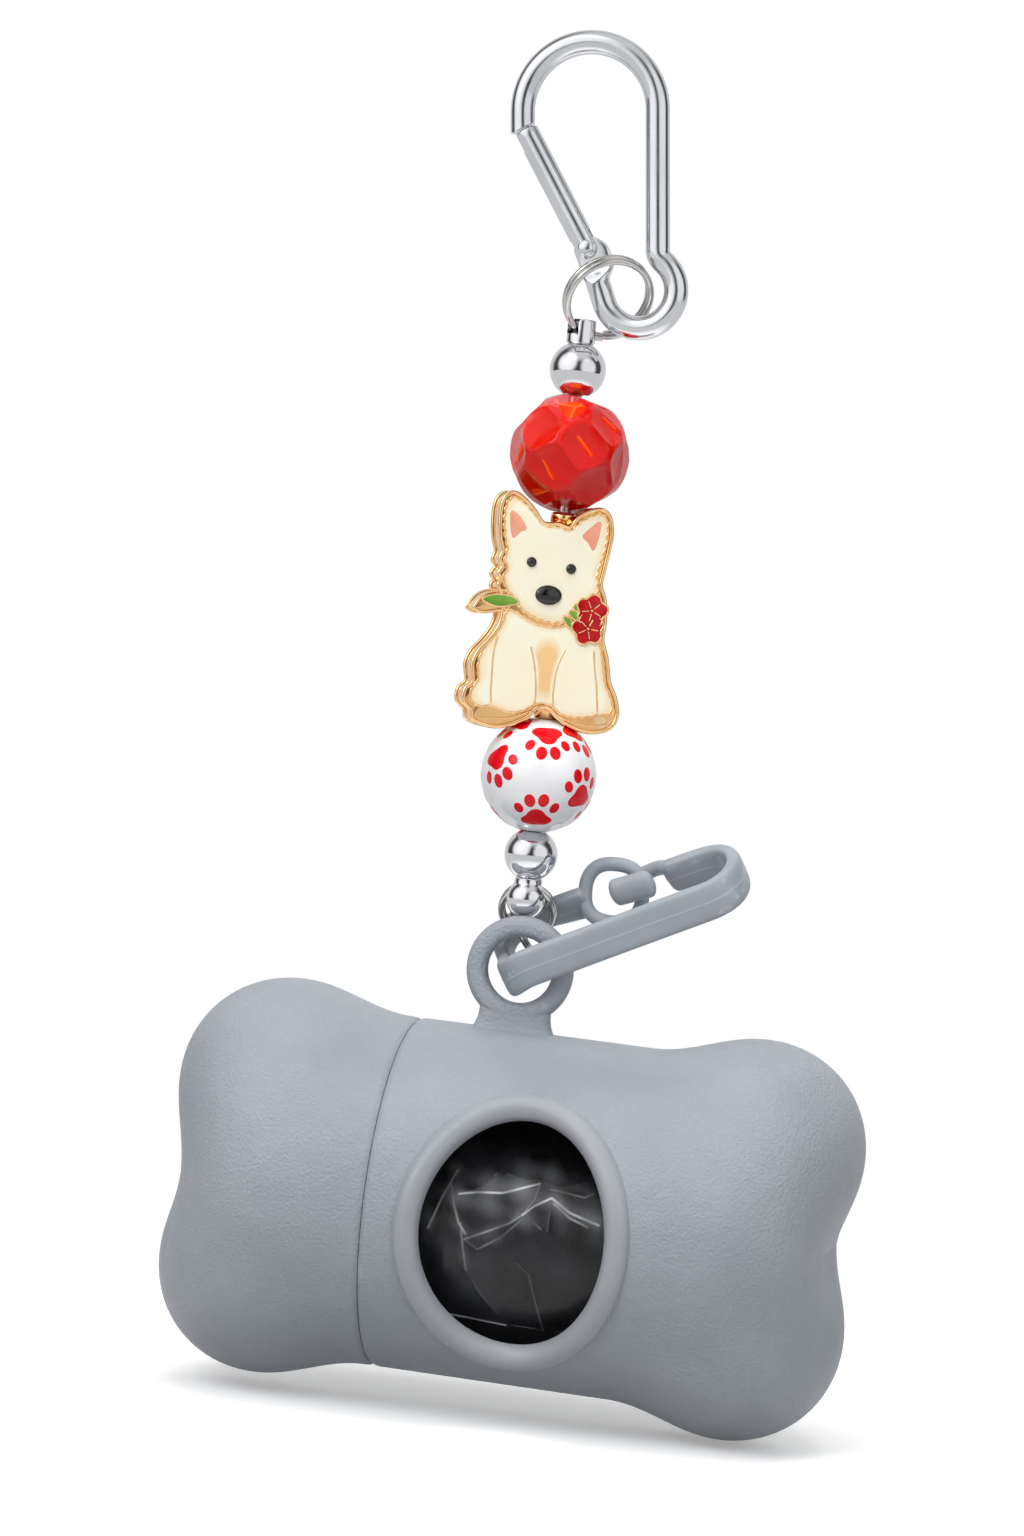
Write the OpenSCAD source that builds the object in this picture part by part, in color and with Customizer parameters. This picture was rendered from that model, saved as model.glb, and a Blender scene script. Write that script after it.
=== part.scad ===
// Bone-shaped bag dispenser that hangs from a beaded keychain and a small carabiner.
// Millimetres. +Z is up, +X runs along the bone, and the bag window faces -Y.
// The origin is the inner top of the carabiner, where it hangs.

/* [Carabiner] */
// Thickness of the bent bar
bar_d = 3.2; // [2.6:0.1:3.8]
// Centre-line radius of the wide top bend
top_bend_r = 9; // [8:0.25:11]
// Centre-line radius of the lower hook
hook_r = 4.9; // [4.2:0.1:6]
// Distance from the top bend's centre down to the lower hook's centre
hook_drop = 23.75; // [22:0.25:28]
// Distance from the top bend's centre across to the lower hook's centre
hook_shift = 6.53; // [5.5:0.1:7.5]
// Radius of the neck that joins the long side to the hook
neck_r = 2; // [1.8:0.1:3]
// Lean of the carabiner as it hangs, in degrees
carabiner_lean = 5.65; // [0:0.5:8]
// Length of the hook's straight tail up to the gate's rivet
tail_len = 7.4; // [6.6:0.1:9]
// Lean of the hook's straight tail, in degrees
tail_lean = 17.4; // [12:0.2:22]
// Outer thickness of the gate tube
gate_d = 3.2; // [2.8:0.1:3.6]
// Wall of the gate tube
gate_wall = 0.45; // [0.35:0.05:0.6]
// Thickness of the flat tongues that the gate closes over
tongue_t = 1.3; // [1:0.1:1.5]
// Thickness of the gate's rivet
rivet_d = 1.1; // [0.9:0.1:1.3]

/* [Rings] */
// Outer diameter of the upper split ring
top_ring_od = 12.3; // [11:0.1:13.5]
// Wire of the upper split ring
top_ring_wire = 0.9; // [0.7:0.05:1]
// Outer diameter of the small split ring
small_ring_od = 7.8; // [7.4:0.1:8.4]
// Wire of the small split ring
small_ring_wire = 0.85; // [0.6:0.05:0.95]
// Lean of the small split ring away from the viewer, in degrees
small_ring_lean = 23.7; // [22:0.1:26]
// Middle radius of the jump ring that joins the small ring to the strap
jump_ring_r = 4.6; // [4.4:0.1:4.8]
// Wire of the jump ring
jump_ring_wire = 1; // [0.7:0.05:1.1]

/* [Beads] */
// Thickness of the threaded rod through the beads
rod_d = 1.8; // [1.4:0.1:2]
// Width of the slotted bail at the rod's top
bail_d = 3.8; // [3.4:0.1:4.4]
// Height of the slotted bail
bail_h = 3.3; // [3:0.1:4]
// Diameter of the upper metal ball
top_ball_d = 7.4; // [6:0.1:9]
// Diameter of the red faceted bead
red_bead_d = 15.8; // [12:0.2:18]
// Number of hollow facets on the red bead
red_facets = 26; // [16:1:36]
// Diameter of the white bead
white_bead_d = 15.2; // [12:0.2:18]
// Diameter of the lower metal ball
low_ball_d = 7; // [6:0.1:9]
// Diameter of the ball at the rod's foot
foot_ball_d = 5.4; // [4.8:0.1:6]

/* [Charm] */
// Height of the puppy charm along the rod, from its top loop to its lower arch
charm_h = 27.3; // [24:0.1:32]
// Thickness of the charm's metal
charm_t = 6.6; // [5:0.1:8]
// Depth of the enamel on each face
enamel_t = 0.5; // [0.3:0.05:0.8]
// Width of the metal line round each enamel field
metal_line = 0.55; // [0.35:0.05:0.8]

/* [Strap] */
// Width of the strap's band
band_w = 5; // [4:0.1:5.2]
// Thickness of the strap's band
band_t = 2; // [1.6:0.1:2.2]
// Length of the strap's straight near run
strap_run = 24.8; // [22:0.2:30]
// Thickness of the strap's round eye and hook
eye_wire = 1.9; // [1.5:0.1:2.1]

/* [Bone case] */
// Length of the core between the lobes' notches
core_len = 84.6; // [80:0.5:92]
// Diameter of the round middle
core_d = 46.2; // [44:0.2:52]
// Radius of the four lobes
lobe_r = 13.2; // [12:0.1:14]
// Distance from the middle to the lobes' centres, along the bone
lobe_x = 32.2; // [30:0.2:34]
// Distance from the axis to the lobes' centres
lobe_z = 12.7; // [11.5:0.1:13.5]
// Wall of the case
case_wall = 2; // [1.6:0.1:2.6]
// Place of the seam between the cap and the body, from the middle
seam_x = -15; // [-17:0.5:-14]
// Width of the bag window
window_w = 24; // [18:0.5:26]
// Height of the bag window
window_h = 29; // [22:0.5:31]
// Thickness of the window's raised rim
rim_d = 3.4; // [2.4:0.1:4]
// Outer diameter of the hanging eye
eyelet_od = 14.2; // [13.4:0.1:15.5]
// Hole in the hanging eye
eyelet_id = 8.7; // [8.5:0.1:9.2]
// Thickness of the hanging eye
eyelet_t = 3.3; // [2.8:0.1:3.6]
// Height of the hanging eye's centre over the bone's axis
eyelet_rise = 31.1; // [30:0.1:35]
// Lean of the bone as it hangs, in degrees
bone_lean = 1.2; // [0:0.2:2]

/* [Bags] */
// Diameter of the wound bags
roll_d = 33; // [28:0.5:36]
// Length of the wound bags
roll_len = 60; // [50:1:64]
// Diameter of the roll's card core
core_tube_d = 13; // [10:0.5:16]
// Wall of the roll's card core
core_tube_wall = 1; // [0.6:0.1:1.6]
// Thickness of the loose first bag
film_t = 0.4; // [0.3:0.05:0.6]

/* [Hidden] */
$fn = 64;

// Play between turning pieces, and between loose ones
run_gap = 0.05;
free_gap = 0.3;

steel = [0.78, 0.79, 0.8];
chrome = [0.85, 0.86, 0.88];
gold = [0.86, 0.66, 0.42];
grey = [0.6, 0.64, 0.67];

// ---- general helpers ----
function unit(v) = v / norm(v);
function mix(a, b, t) = a * (1 - t) + b * t;
function clamp(x, lo, hi) = min(max(x, lo), hi);
function ease(t) = t * t * (3 - 2 * t);
function bezier(p, t) =
    pow(1 - t, 3) * p[0] + 3 * pow(1 - t, 2) * t * p[1] + 3 * (1 - t) * t * t * p[2] + pow(t, 3) * p[3];
// Closed smooth curve through a few points
function loop_point(p, i, t) =
    let (n = len(p), a = p[(i + n - 1) % n], b = p[i], c = p[(i + 1) % n], d = p[(i + 2) % n])
    0.5 * (2 * b + (c - a) * t + (2 * a - 5 * b + 4 * c - d) * t * t + (3 * b - a - 3 * c + d) * pow(t, 3));
function smooth_loop(p, steps) =
    [for (i = [0 : len(p) - 1], j = [0 : steps - 1]) loop_point(p, i, j / steps)];

// Skin over rings of points: closed round each ring, with flat ends or joined end to end
module skin(rings, closed = false) {
    n = len(rings);
    m = len(rings[0]);
    last = closed ? n - 1 : n - 2;
    sides = [for (i = [0 : last], j = [0 : m - 1])
        let (a = i * m + j, b = i * m + (j + 1) % m, k = (i + 1) % n)
        each [[a, b, k * m + j], [b, k * m + (j + 1) % m, k * m + j]]];
    ends = closed ? [] : [[for (j = [m - 1 : -1 : 0]) j], [for (j = [0 : m - 1]) (n - 1) * m + j]];
    polyhedron([for (r = rings) each r], concat(sides, ends), convexity = 6);
}

// Section placed at p, with its x along a and its y along b
function placed(section, p, a, b) = [for (s = section) p + a * s[0] + b * s[1]];
function round_section(r, n) = [for (i = [0 : n - 1]) r * [cos(360 * i / n), sin(360 * i / n)]];

// The same ring counted from its opposite point, for a bend the other way
function turned_half(ring) = let (n = len(ring)) [for (i = [0 : n - 1]) ring[(n + n / 2 - i) % n]];

// ---- carabiner layout, in its own upright frame about the top bend's centre ----
neck_sum = neck_r + hook_r;
neck_x = top_bend_r + neck_r;
neck_drop = hook_drop - sqrt(pow(neck_sum, 2) - pow(neck_x - hook_shift, 2));
neck_turn = acos((neck_x - hook_shift) / neck_sum);
hook_end = 180 + tail_lean;
hook_c = [hook_shift, 0, -hook_drop];
tail_dir = [-sin(tail_lean), 0, cos(tail_lean)];
tail_foot = hook_c + hook_r * [cos(hook_end), 0, sin(hook_end)];
rivet_c = tail_foot + tail_len * tail_dir;
nose_c = [-top_bend_r, 0, -1.6];
gate_vec = nose_c - rivet_c;
gate_len = norm(gate_vec);
gate_lean = atan2(-gate_vec[0], gate_vec[2]);
gate_end_gap = 0.5;
tongue_w = 2;
tang_len = 3.4;
bore_d = gate_d - 2 * gate_wall;

// Place a shape drawn in the carabiner's own frame into the hanging frame
top_c = [0, 0, -(top_bend_r - bar_d / 2)];
module in_carabiner() {
    translate(top_c)
        rotate([0, -carabiner_lean, 0])
            children();
}
function from_carabiner(p) =
    top_c + [p[0] * cos(carabiner_lean) - p[2] * sin(carabiner_lean), p[1],
             p[0] * sin(carabiner_lean) + p[2] * cos(carabiner_lean)];

// ---- where the upper split ring sits on the hook, and the bail's slot on the ring ----
top_ring_r = (top_ring_od - top_ring_wire) / 2;
ring_seat_angle = 218;
ring_seat = from_carabiner(hook_c) + hook_r * [cos(ring_seat_angle), 0, sin(ring_seat_angle)];
slot_p = ring_seat + top_ring_r * [-0.575, 0, -0.505];
ring_tip = 59.3;
ring_turn = 123.1;
ring_clock = -157.5;
slot_az = 45.1;
slot_dip = 19.2;

// ---- stack of beads on the rod ----
seat_r = 1.7;
function flat_h(d) = sqrt(pow(d / 2, 2) - pow(seat_r, 2));
chain_x = slot_p[0];
bail_top_z = slot_p[2] + 1.5;
bail_foot_z = bail_top_z - bail_h;
top_ball_z = bail_foot_z - flat_h(top_ball_d) - run_gap;
red_z = top_ball_z - flat_h(top_ball_d) - flat_h(red_bead_d) - run_gap;
charm_top_z = red_z - flat_h(red_bead_d) - run_gap;
charm_foot_z = charm_top_z - charm_h;
white_z = charm_foot_z - flat_h(white_bead_d) - run_gap;
low_ball_z = white_z - flat_h(white_bead_d) - flat_h(low_ball_d) - run_gap;
foot_top_z = low_ball_z - flat_h(low_ball_d) - run_gap;
foot_neck = 1.4;
foot_ball_z = foot_top_z - foot_ball_d / 2 - 0.08;
small_slot_h = 1.45;
small_slot_z = foot_top_z - small_slot_h / 2 - 0.4;
bead_bore_d = rod_d + 0.2;

// ---- eyelet centre, and the bone's own frame ----
eyelet_c = [chain_x + 0.6, -3.1, foot_ball_z - 9.2];
eyelet_back = 2.35;
small_ring_r = (small_ring_od - small_ring_wire) / 2;
small_slot_p = [chain_x, 0, small_slot_z];
jump_c = eyelet_c + [-0.438, 8.646, 4.67];
jump_tip = 57.5;
jump_turn = -9.95;
module in_bone() {
    translate(eyelet_c)
        rotate([0, bone_lean, 0])
            translate([eyelet_back, 0, -eyelet_rise])
                children();
}

// ---- carabiner ----
module in_gate() {
    in_carabiner()
        translate(rivet_c)
            rotate([0, -gate_lean, 0])
                children();
}
tang_r = gate_d / 2 - 0.2;
module tail_tang() {
    translate(rivet_c)
        rotate([0, -tail_lean, 0])
            difference() {
                union() {
                    rotate([90, 0, 0])
                        cylinder(r = tang_r, h = tongue_t, center = true);
                    translate([-tang_r, -tongue_t / 2, -tang_len - 1])
                        cube([2 * tang_r, tongue_t, tang_len + 1]);
                }
                rotate([90, 0, 0])
                    cylinder(d = rivet_d, h = 2 * gate_d, center = true);
            }
}
nose_tongue = 2.6;
// Rings of the bent bar along one arc about c, from one angle to another, without the last
bar_section = round_section(bar_d / 2, 18);
function bar_ring(p, a) = placed(bar_section, p, [cos(a), 0, sin(a)], [0, 1, 0]);
function bar_arc(c, r, from, to, steps) =
    [for (i = [0 : steps - 1]) let (a = mix(from, to, i / steps)) bar_ring(c + r * [cos(a), 0, sin(a)], a)];
neck_c = [neck_x, 0, -neck_drop];
module carabiner_frame() {
    color(steel) in_carabiner() {
        // One bar: nose, top bend, long side, neck, hook and tail
        skin(concat(
            [bar_ring(nose_c, 180)],
            bar_arc([0, 0, 0], top_bend_r, 180, 0, 24),
            [bar_ring([top_bend_r, 0, 0], 0)],
            [for (ring = bar_arc(neck_c, neck_r, 180, 180 + neck_turn, 4)) turned_half(ring)],
            bar_arc(hook_c, hook_r, neck_turn, hook_end - 360, 22),
            [bar_ring(tail_foot, hook_end), bar_ring(rivet_c - tang_len * tail_dir, hook_end)]));
        tail_tang();
        translate(nose_c)
            rotate([0, -gate_lean, 0])
                translate([-tongue_w / 2, -tongue_t / 2, -nose_tongue])
                    cube([tongue_w, tongue_t, nose_tongue + bar_d / 4]);
    }
}
gate_top = gate_len - gate_end_gap - bar_d * 0.12;
bore_top = gate_top - nose_tongue - 1.6;
module carabiner_gate() {
    slot_w = tongue_t + 0.3;
    color(steel) in_gate() difference() {
        union() {
            cylinder(d = gate_d, h = gate_top);
            sphere(d = gate_d);
        }
        translate([0, 0, tang_r + 0.3])
            cylinder(d = bore_d, h = bore_top - tang_r - 0.3);
        // Slot that takes the nose's tongue, open to the outside
        translate([-gate_d, -slot_w / 2, gate_top - nose_tongue])
            cube([gate_d + tongue_w / 2 + 0.1, slot_w, nose_tongue + 1]);
        // Fork over the tail's tang
        translate([-gate_d, -slot_w / 2, -gate_d])
            cube([2 * gate_d, slot_w, gate_d + tang_r + 0.35]);
        rotate([90, 0, 0])
            cylinder(d = rivet_d + 2 * run_gap, h = 2 * gate_d, center = true);
        // Flats under the rivet's heads
        for (side = [-1, 1])
            translate([-gate_d, side > 0 ? gate_d / 2 - 0.15 : -gate_d / 2 - 1 + 0.15, -gate_d])
                cube([2 * gate_d, 1, gate_d + 1.2]);
    }
}
rivet_head = 0.55;
module gate_rivet() {
    half = gate_d / 2 - 0.15 + run_gap;
    color(steel) in_carabiner() translate(rivet_c) rotate([90, 0, 0]) {
        cylinder(d = rivet_d, h = 2 * half + 0.2, center = true);
        for (side = [0, 180])
            rotate([side, 0, 0])
                translate([0, 0, half])
                    intersection() {
                        translate([0, 0, -0.75])
                            sphere(r = rivet_head + 0.75);
                        cylinder(r = 1.05, h = rivet_head + 1);
                    }
    }
}
plunger_foot = gate_d / 2 + 0.1;
plunger_len = 1.6;
spring_wire = 0.32;
module gate_plunger() {
    color(steel) in_gate()
        translate([0, 0, plunger_foot])
            cylinder(d = bore_d - 0.2, h = plunger_len);
}
module gate_spring() {
    low = plunger_foot + plunger_len + spring_wire / 2;
    high = bore_top - spring_wire / 2;
    turns = 7;
    coil_r = bore_d / 2 - 0.1 - spring_wire / 2;
    section = round_section(spring_wire / 2, 6);
    steps = turns * 12;
    color(steel) in_gate()
        skin([for (i = [0 : steps])
            let (a = 360 * turns * i / steps, out = [cos(a), sin(a), 0])
            placed(section, coil_r * out + [0, 0, mix(low, high, i / steps)], out, [0, 0, 1])]);
}

// ---- split rings: two turns of wire side by side, with one eased step between them ----
module split_ring(r, wire) {
    steps = 34;
    pitch = wire + 0.04;
    step_arc = 46;
    gap = 5;
    section = round_section(wire / 2, 8);
    total = 720 - gap;
    skin([for (i = [0 : 2 * steps])
        let (a = total * i / (2 * steps),
             s = clamp((a - 360 + step_arc / 2) / step_arc, 0, 1),
             out = [cos(a), sin(a), 0])
        placed(section, r * out + [0, 0, pitch * (ease(s) - 0.5)], out, [0, 0, 1])]);
}
module top_split_ring() {
    color(steel)
        translate(slot_p)
            rotate([0, ring_tip, ring_turn])
                rotate([0, 0, ring_clock])
                    translate([top_ring_r, 0, 0])
                        rotate([0, 0, 150])
                            split_ring(top_ring_r, top_ring_wire);
}
module in_small_ring() {
    translate(small_slot_p)
        rotate([small_ring_lean - 90, 0, 0])
            translate([0, small_ring_r, 0])
                children();
}
module small_split_ring() {
    color(chrome) in_small_ring()
        rotate([0, 0, 120])
            split_ring(small_ring_r, small_ring_wire);
}
module jump_ring() {
    color(chrome)
        translate(jump_c)
            rotate([0, jump_tip, jump_turn])
                rotate_extrude()
                    translate([jump_ring_r, 0])
                        circle(d = jump_ring_wire);
}

// ---- rod and its ends ----
bail_socket = 0.4;
slot_w = 2 * top_ring_wire + 0.75;
slot_h = 2.15;
module bail_head() {
    color(chrome) difference() {
        translate([chain_x, 0, bail_foot_z])
            cylinder(d = bail_d, h = bail_h);
        translate(slot_p)
            rotate([0, slot_dip, slot_az])
                cube([2 * bail_d, slot_w, slot_h], center = true);
        translate([chain_x, 0, bail_foot_z - 1])
            cylinder(d = rod_d, h = bail_socket + 1);
    }
}
module bead_rod() {
    color(chrome) difference() {
        union() {
            translate([chain_x, 0, foot_top_z - 1])
                cylinder(d = rod_d, h = bail_foot_z + bail_socket - foot_top_z + 1);
            translate([chain_x, 0, foot_top_z - foot_neck])
                cylinder(d = foot_ball_d * 0.68, h = foot_neck);
            translate([chain_x, 0, foot_ball_z])
                sphere(d = foot_ball_d);
        }
        in_small_ring()
            rotate_extrude()
                translate([small_ring_r, 0])
                    square([small_slot_h, 2 * small_ring_wire + 0.75], center = true);
    }
}

// ---- beads: balls with flat seats and a running bore ----
module ball_bead(d, z) {
    difference() {
        intersection() {
            translate([chain_x, 0, z])
                sphere(d = d);
            translate([chain_x, 0, z])
                cylinder(d = 2 * d, h = 2 * flat_h(d), center = true);
        }
        translate([chain_x, 0, z])
            cylinder(d = bead_bore_d, h = 2 * d, center = true);
    }
}
module top_ball() { color(chrome) ball_bead(top_ball_d, top_ball_z); }
module low_ball() { color(chrome) ball_bead(low_ball_d, low_ball_z); }
module white_bead() { color("white") ball_bead(white_bead_d, white_z); }

// Red bead: a ball hollowed by shallow round facets, spread evenly by the golden angle
facet_r = red_bead_d * 0.62;
facet_depth = red_bead_d * 0.052;
function facet_axis(k) =
    let (h = 1 - 2 * (k + 0.5) / red_facets, a = 137.508 * k)
    [sqrt(1 - h * h) * cos(a), sqrt(1 - h * h) * sin(a), h];
facet_reach = red_bead_d / 2 - facet_depth + facet_r;
function facet_hit(dir, k) =
    let (c = dir * facet_axis(k), s = pow(facet_r, 2) - pow(facet_reach, 2) * (1 - c * c))
    (c > 0 && s > 0) ? facet_reach * c - sqrt(s) : red_bead_d;
function red_radius(dir) = min([red_bead_d / 2, for (k = [0 : red_facets - 1]) facet_hit(dir, k)]);
module red_bead() {
    rows = 22;
    cols = 32;
    color([0.9, 0.05, 0.03, 0.8]) translate([chain_x, 0, red_z]) difference() {
        intersection() {
            skin([for (i = [0 : rows])
                let (lat = mix(86, -86, i / rows))
                [for (j = [0 : cols - 1])
                    let (lon = 360 * j / cols, dir = [cos(lat) * cos(lon), cos(lat) * sin(lon), sin(lat)])
                    dir * red_radius(dir)]]);
            cylinder(d = 2 * red_bead_d, h = 2 * flat_h(red_bead_d), center = true);
        }
        cylinder(d = bead_bore_d, h = 2 * red_bead_d, center = true);
    }
}

// ---- charm: a flat metal puppy with enamel fields on both faces ----
charm_mid_z = (charm_top_z + charm_foot_z) / 2;
charm_turn = 20;
cx = charm_h / 27.3;
module in_charm() {
    translate([chain_x, 0, charm_mid_z])
        rotate([0, 0, charm_turn])
            children();
}
// Outline of the whole figure, from the crown clockwise
puppy = [[-1.2, 11.5], [1.6, 11.6], [4.3, 14.2], [5.4, 13.2], [5.6, 9.6], [6.1, 6], [6, 2], [6.2, -3],
         [7.6, -7.4], [9.2, -11.2], [8.4, -14.1], [5, -14.8], [2.6, -13.9], [0, -13.3], [-2.6, -13.9],
         [-5.6, -15.1], [-9.2, -14.5], [-10.2, -11.9], [-8.8, -7.8], [-7.2, -3], [-7.4, 1.4], [-8, 5],
         [-7.9, 9], [-8.4, 13], [-7.7, 15.6], [-6.2, 14.8], [-4, 12.2]] * cx;
head_field = [[-1.2, 10.8], [1.8, 10.8], [4, 12.9], [4.7, 12.5], [4.8, 9.4], [5.2, 6], [4.8, 3], [2.6, 0.4],
              [-1.2, -0.6], [-5, 0.4], [-6.9, 3], [-7.2, 6], [-7.1, 9.4], [-7.4, 13], [-7, 14.2], [-6.2, 13.4],
              [-4, 11.4]] * cx;
left_ear = [[-6.6, 12.7], [-5.1, 11.1], [-4.7, 9.8], [-6.2, 9.6], [-6.8, 11]] * cx;
right_ear = [[3.9, 11.9], [4.2, 10.6], [3.8, 9.2], [2.3, 9.6], [2.5, 10.6]] * cx;
left_side = [[-5.9, -1.2], [-4.9, -4], [-5.2, -9], [-5.7, -13.5], [-8, -13.7], [-9.3, -12], [-8, -7.8], [-6.5, -3]] * cx;
right_side = [[5.2, -3.6], [4.4, -5], [4.9, -9], [5.3, -13.5], [7.3, -13.2], [8.3, -11.4], [6.9, -7.4]] * cx;
left_leg = [[-3.9, -4.4], [-2.2, -5.4], [-1.6, -9], [-1.9, -12.6], [-4.6, -13.6], [-4.6, -9]] * cx;
right_leg = [[3.2, -5.2], [2, -5.8], [1.3, -9], [1.5, -12.3], [4.5, -13.3], [4, -9]] * cx;
chest = [[-4.1, -1.7], [-1.2, -1.7], [1.6, -1.6], [2.9, -3.8], [1.2, -5], [0.5, -9], [0.4, -12.2], [-0.7, -12.4],
         [-0.9, -9], [-1.5, -4.9], [-3.9, -3.4]] * cx;
leaf_left = [[-11.4, 0.9], [-9.6, 1.7], [-7.2, 1.3], [-5.4, 0.2], [-7.4, -0.6], [-9.8, -0.3]] * cx;
leaf_right = [[2.6, -0.9], [3.4, 0.9], [4.6, 1.3], [4.2, -0.6], [3, -1.9], [2.2, -2.2]] * cx;
leaf_left_c = [-8.4, 0.5] * cx;
leaf_right_c = [3.4, -0.4] * cx;
flower_c = [5.3, -0.4] * cx;
flower_ring_r = 3.1 * cx;
petal_r = 1.15 * cx;
petal_out = 1.5 * cx;
ear_rim = 0.3;
function ring_of(n, r) = [for (i = [0 : n - 1]) r * [cos(360 * i / n + 54), sin(360 * i / n + 54)]];

// Flat shape standing in the XZ plane, between two depths
module upright(from, to) {
    translate([0, to, 0])
        rotate([90, 0, 0])
            linear_extrude(to - from)
                children();
}
module field(points, steps = 4) { polygon(smooth_loop(points, steps)); }
module petals(r) {
    for (p = ring_of(5, petal_out))
        translate(flower_c + p)
            circle(r = r, $fn = 24);
    translate(flower_c)
        circle(r = r, $fn = 24);
}
module stem_leaves() {
    difference() {
        union() {
            field(leaf_left);
            field(leaf_right);
        }
        petals(petal_r + metal_line * 0.6);
    }
}
// One enamel layer on the front and one on the back
module both_faces(depth) {
    for (side = [-1, 1])
        upright(side > 0 ? charm_t / 2 - depth : -charm_t / 2, side > 0 ? charm_t / 2 : -charm_t / 2 + depth)
            children();
}
// A leaf with its metal line round it, and the metal disc behind the flower
module leaf_edge(leaf, centre) {
    polygon([for (p = smooth_loop(leaf, 4)) p + metal_line * unit(p - centre)]);
}
module flower_disc() {
    translate(flower_c)
        circle(r = flower_ring_r, $fn = 40);
}
module ear_fields() {
    field(left_ear);
    field(right_ear);
}
module fur_fields() {
    difference() {
        field(head_field);
        for (ear = [left_ear, right_ear])
            field([for (p = ear) p + ear_rim * unit(p - (ear[0] + ear[2] + ear[4]) / 3)]);
        flower_disc();
        leaf_edge(leaf_left, leaf_left_c);
        leaf_edge(leaf_right, leaf_right_c);
    }
    difference() {
        union() {
            field(left_side);
            field(right_side);
            field(left_leg);
            field(right_leg);
        }
        flower_disc();
    }
}
module chest_field() {
    difference() {
        field(chest);
        flower_disc();
        leaf_edge(leaf_right, leaf_right_c);
    }
}
module charm_body() {
    color(gold) in_charm() difference() {
        union() {
            upright(-charm_t / 2, charm_t / 2) {
                field(puppy);
                leaf_edge(leaf_left, leaf_left_c);
                flower_disc();
            }
            // Lug at the crown and seat in the arch, round the bore
            cylinder(r = seat_r, h = charm_h, center = true);
        }
        cylinder(d = bead_bore_d, h = 2 * charm_h, center = true);
        both_faces(enamel_t) fur_fields();
        both_faces(enamel_t) chest_field();
        both_faces(enamel_t) ear_fields();
        both_faces(enamel_t) stem_leaves();
        both_faces(enamel_t) petals(petal_r);
    }
}
module charm_fur() { color([1, 0.94, 0.82]) in_charm() both_faces(enamel_t) fur_fields(); }
module charm_shade() { color([0.99, 0.86, 0.66]) in_charm() both_faces(enamel_t) chest_field(); }
module charm_ears() { color([0.98, 0.72, 0.58]) in_charm() both_faces(enamel_t) ear_fields(); }
module charm_leaves() { color([0.45, 0.66, 0.16]) in_charm() both_faces(enamel_t) stem_leaves(); }
module charm_flower() { color([0.75, 0.05, 0.07]) in_charm() both_faces(enamel_t) petals(petal_r); }
eye_r = 0.68;
eye_xs = [-3.9, 1.5] * cx;
eye_z = 6.4 * cx;
nose_p = [-1.3, 2.7] * cx;
nose_half = [1.75, 1.3];
nose_t = 0.55;
module charm_face() {
    color([0.04, 0.04, 0.04]) in_charm() for (side = [0, 180]) {
        // Eyes and nose are beads of enamel that stand on the fur
        mirror([0, side > 0 ? 1 : 0, 0]) translate([0, -charm_t / 2, 0]) {
            for (x = eye_xs)
                translate([x, 0, eye_z])
                    intersection() {
                        sphere(r = eye_r, $fn = 24);
                        translate([-1, -1, -1])
                            cube([2, 1, 2]);
                    }
            translate([nose_p[0], 0, nose_p[1]])
                rotate([90, 0, 0])
                    linear_extrude(nose_t)
                        polygon([for (a = [0 : 15 : 345]) [nose_half[0] * cos(a), nose_half[1] * sin(a) + 0.12 * cos(2 * a)]]);
        }
    }
}

// ---- strap: a flexible band through the eyelet, closed by an eye and a hook ----
strap_rise = 26;
along = [cos(strap_rise), 0, sin(strap_rise)];
across = [-sin(strap_rise), 0, cos(strap_rise)];
back = [0, 1, 0];
function strap_at(u, y, w) = eyelet_c + u * along + y * back + w * across;
near_y = -4.19;
near_start = strap_at(2.2, near_y, -0.2);
near_end = near_start + strap_run * along;
far_start = near_end + 10.8 * back + 4.8 * across;
far_end = strap_at(3.57, 9.18, 5.96);
far_dir = unit(far_end - far_start);
hole_p = strap_at(-1.57, 0, -0.15);
hole_dir = unit([-0.141, 0.9, 0.286]);
// The closing eye stands part of the way along the far run
eye_c = mix(far_start, far_end, 0.56);
eye_r_mid = 3.85;
eye_left = eye_c + far_dir * (eye_r_mid - 0.5);
band_stop = eye_c - far_dir * 7.4;
turn_handle = 6;

// Each piece of the path: a bezier's four points, then the band's lean at its two ends
near_piece = [near_start, mix(near_start, near_end, 1 / 3), mix(near_start, near_end, 2 / 3), near_end];
turn_piece = [near_end, near_end + along * turn_handle, far_start - far_dir * turn_handle, far_start];
stop_piece = [far_start, mix(far_start, band_stop, 1 / 3), mix(far_start, band_stop, 2 / 3), band_stop];
rest_piece = [eye_left, mix(eye_left, far_end, 1 / 3), mix(eye_left, far_end, 2 / 3), far_end];
bend_piece = [far_end, far_end + far_dir * 9.2, hole_p + hole_dir * 5.7, hole_p];
hole_piece = [hole_p, hole_p - hole_dir * 2.8, near_start - along * 2.2, near_start];
lean_near = 12;
lean_turn = 30;
lean_stop = 40;
lean_eye = 46;
lean_far = 56.7;
lean_hole = 24.9;

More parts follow.
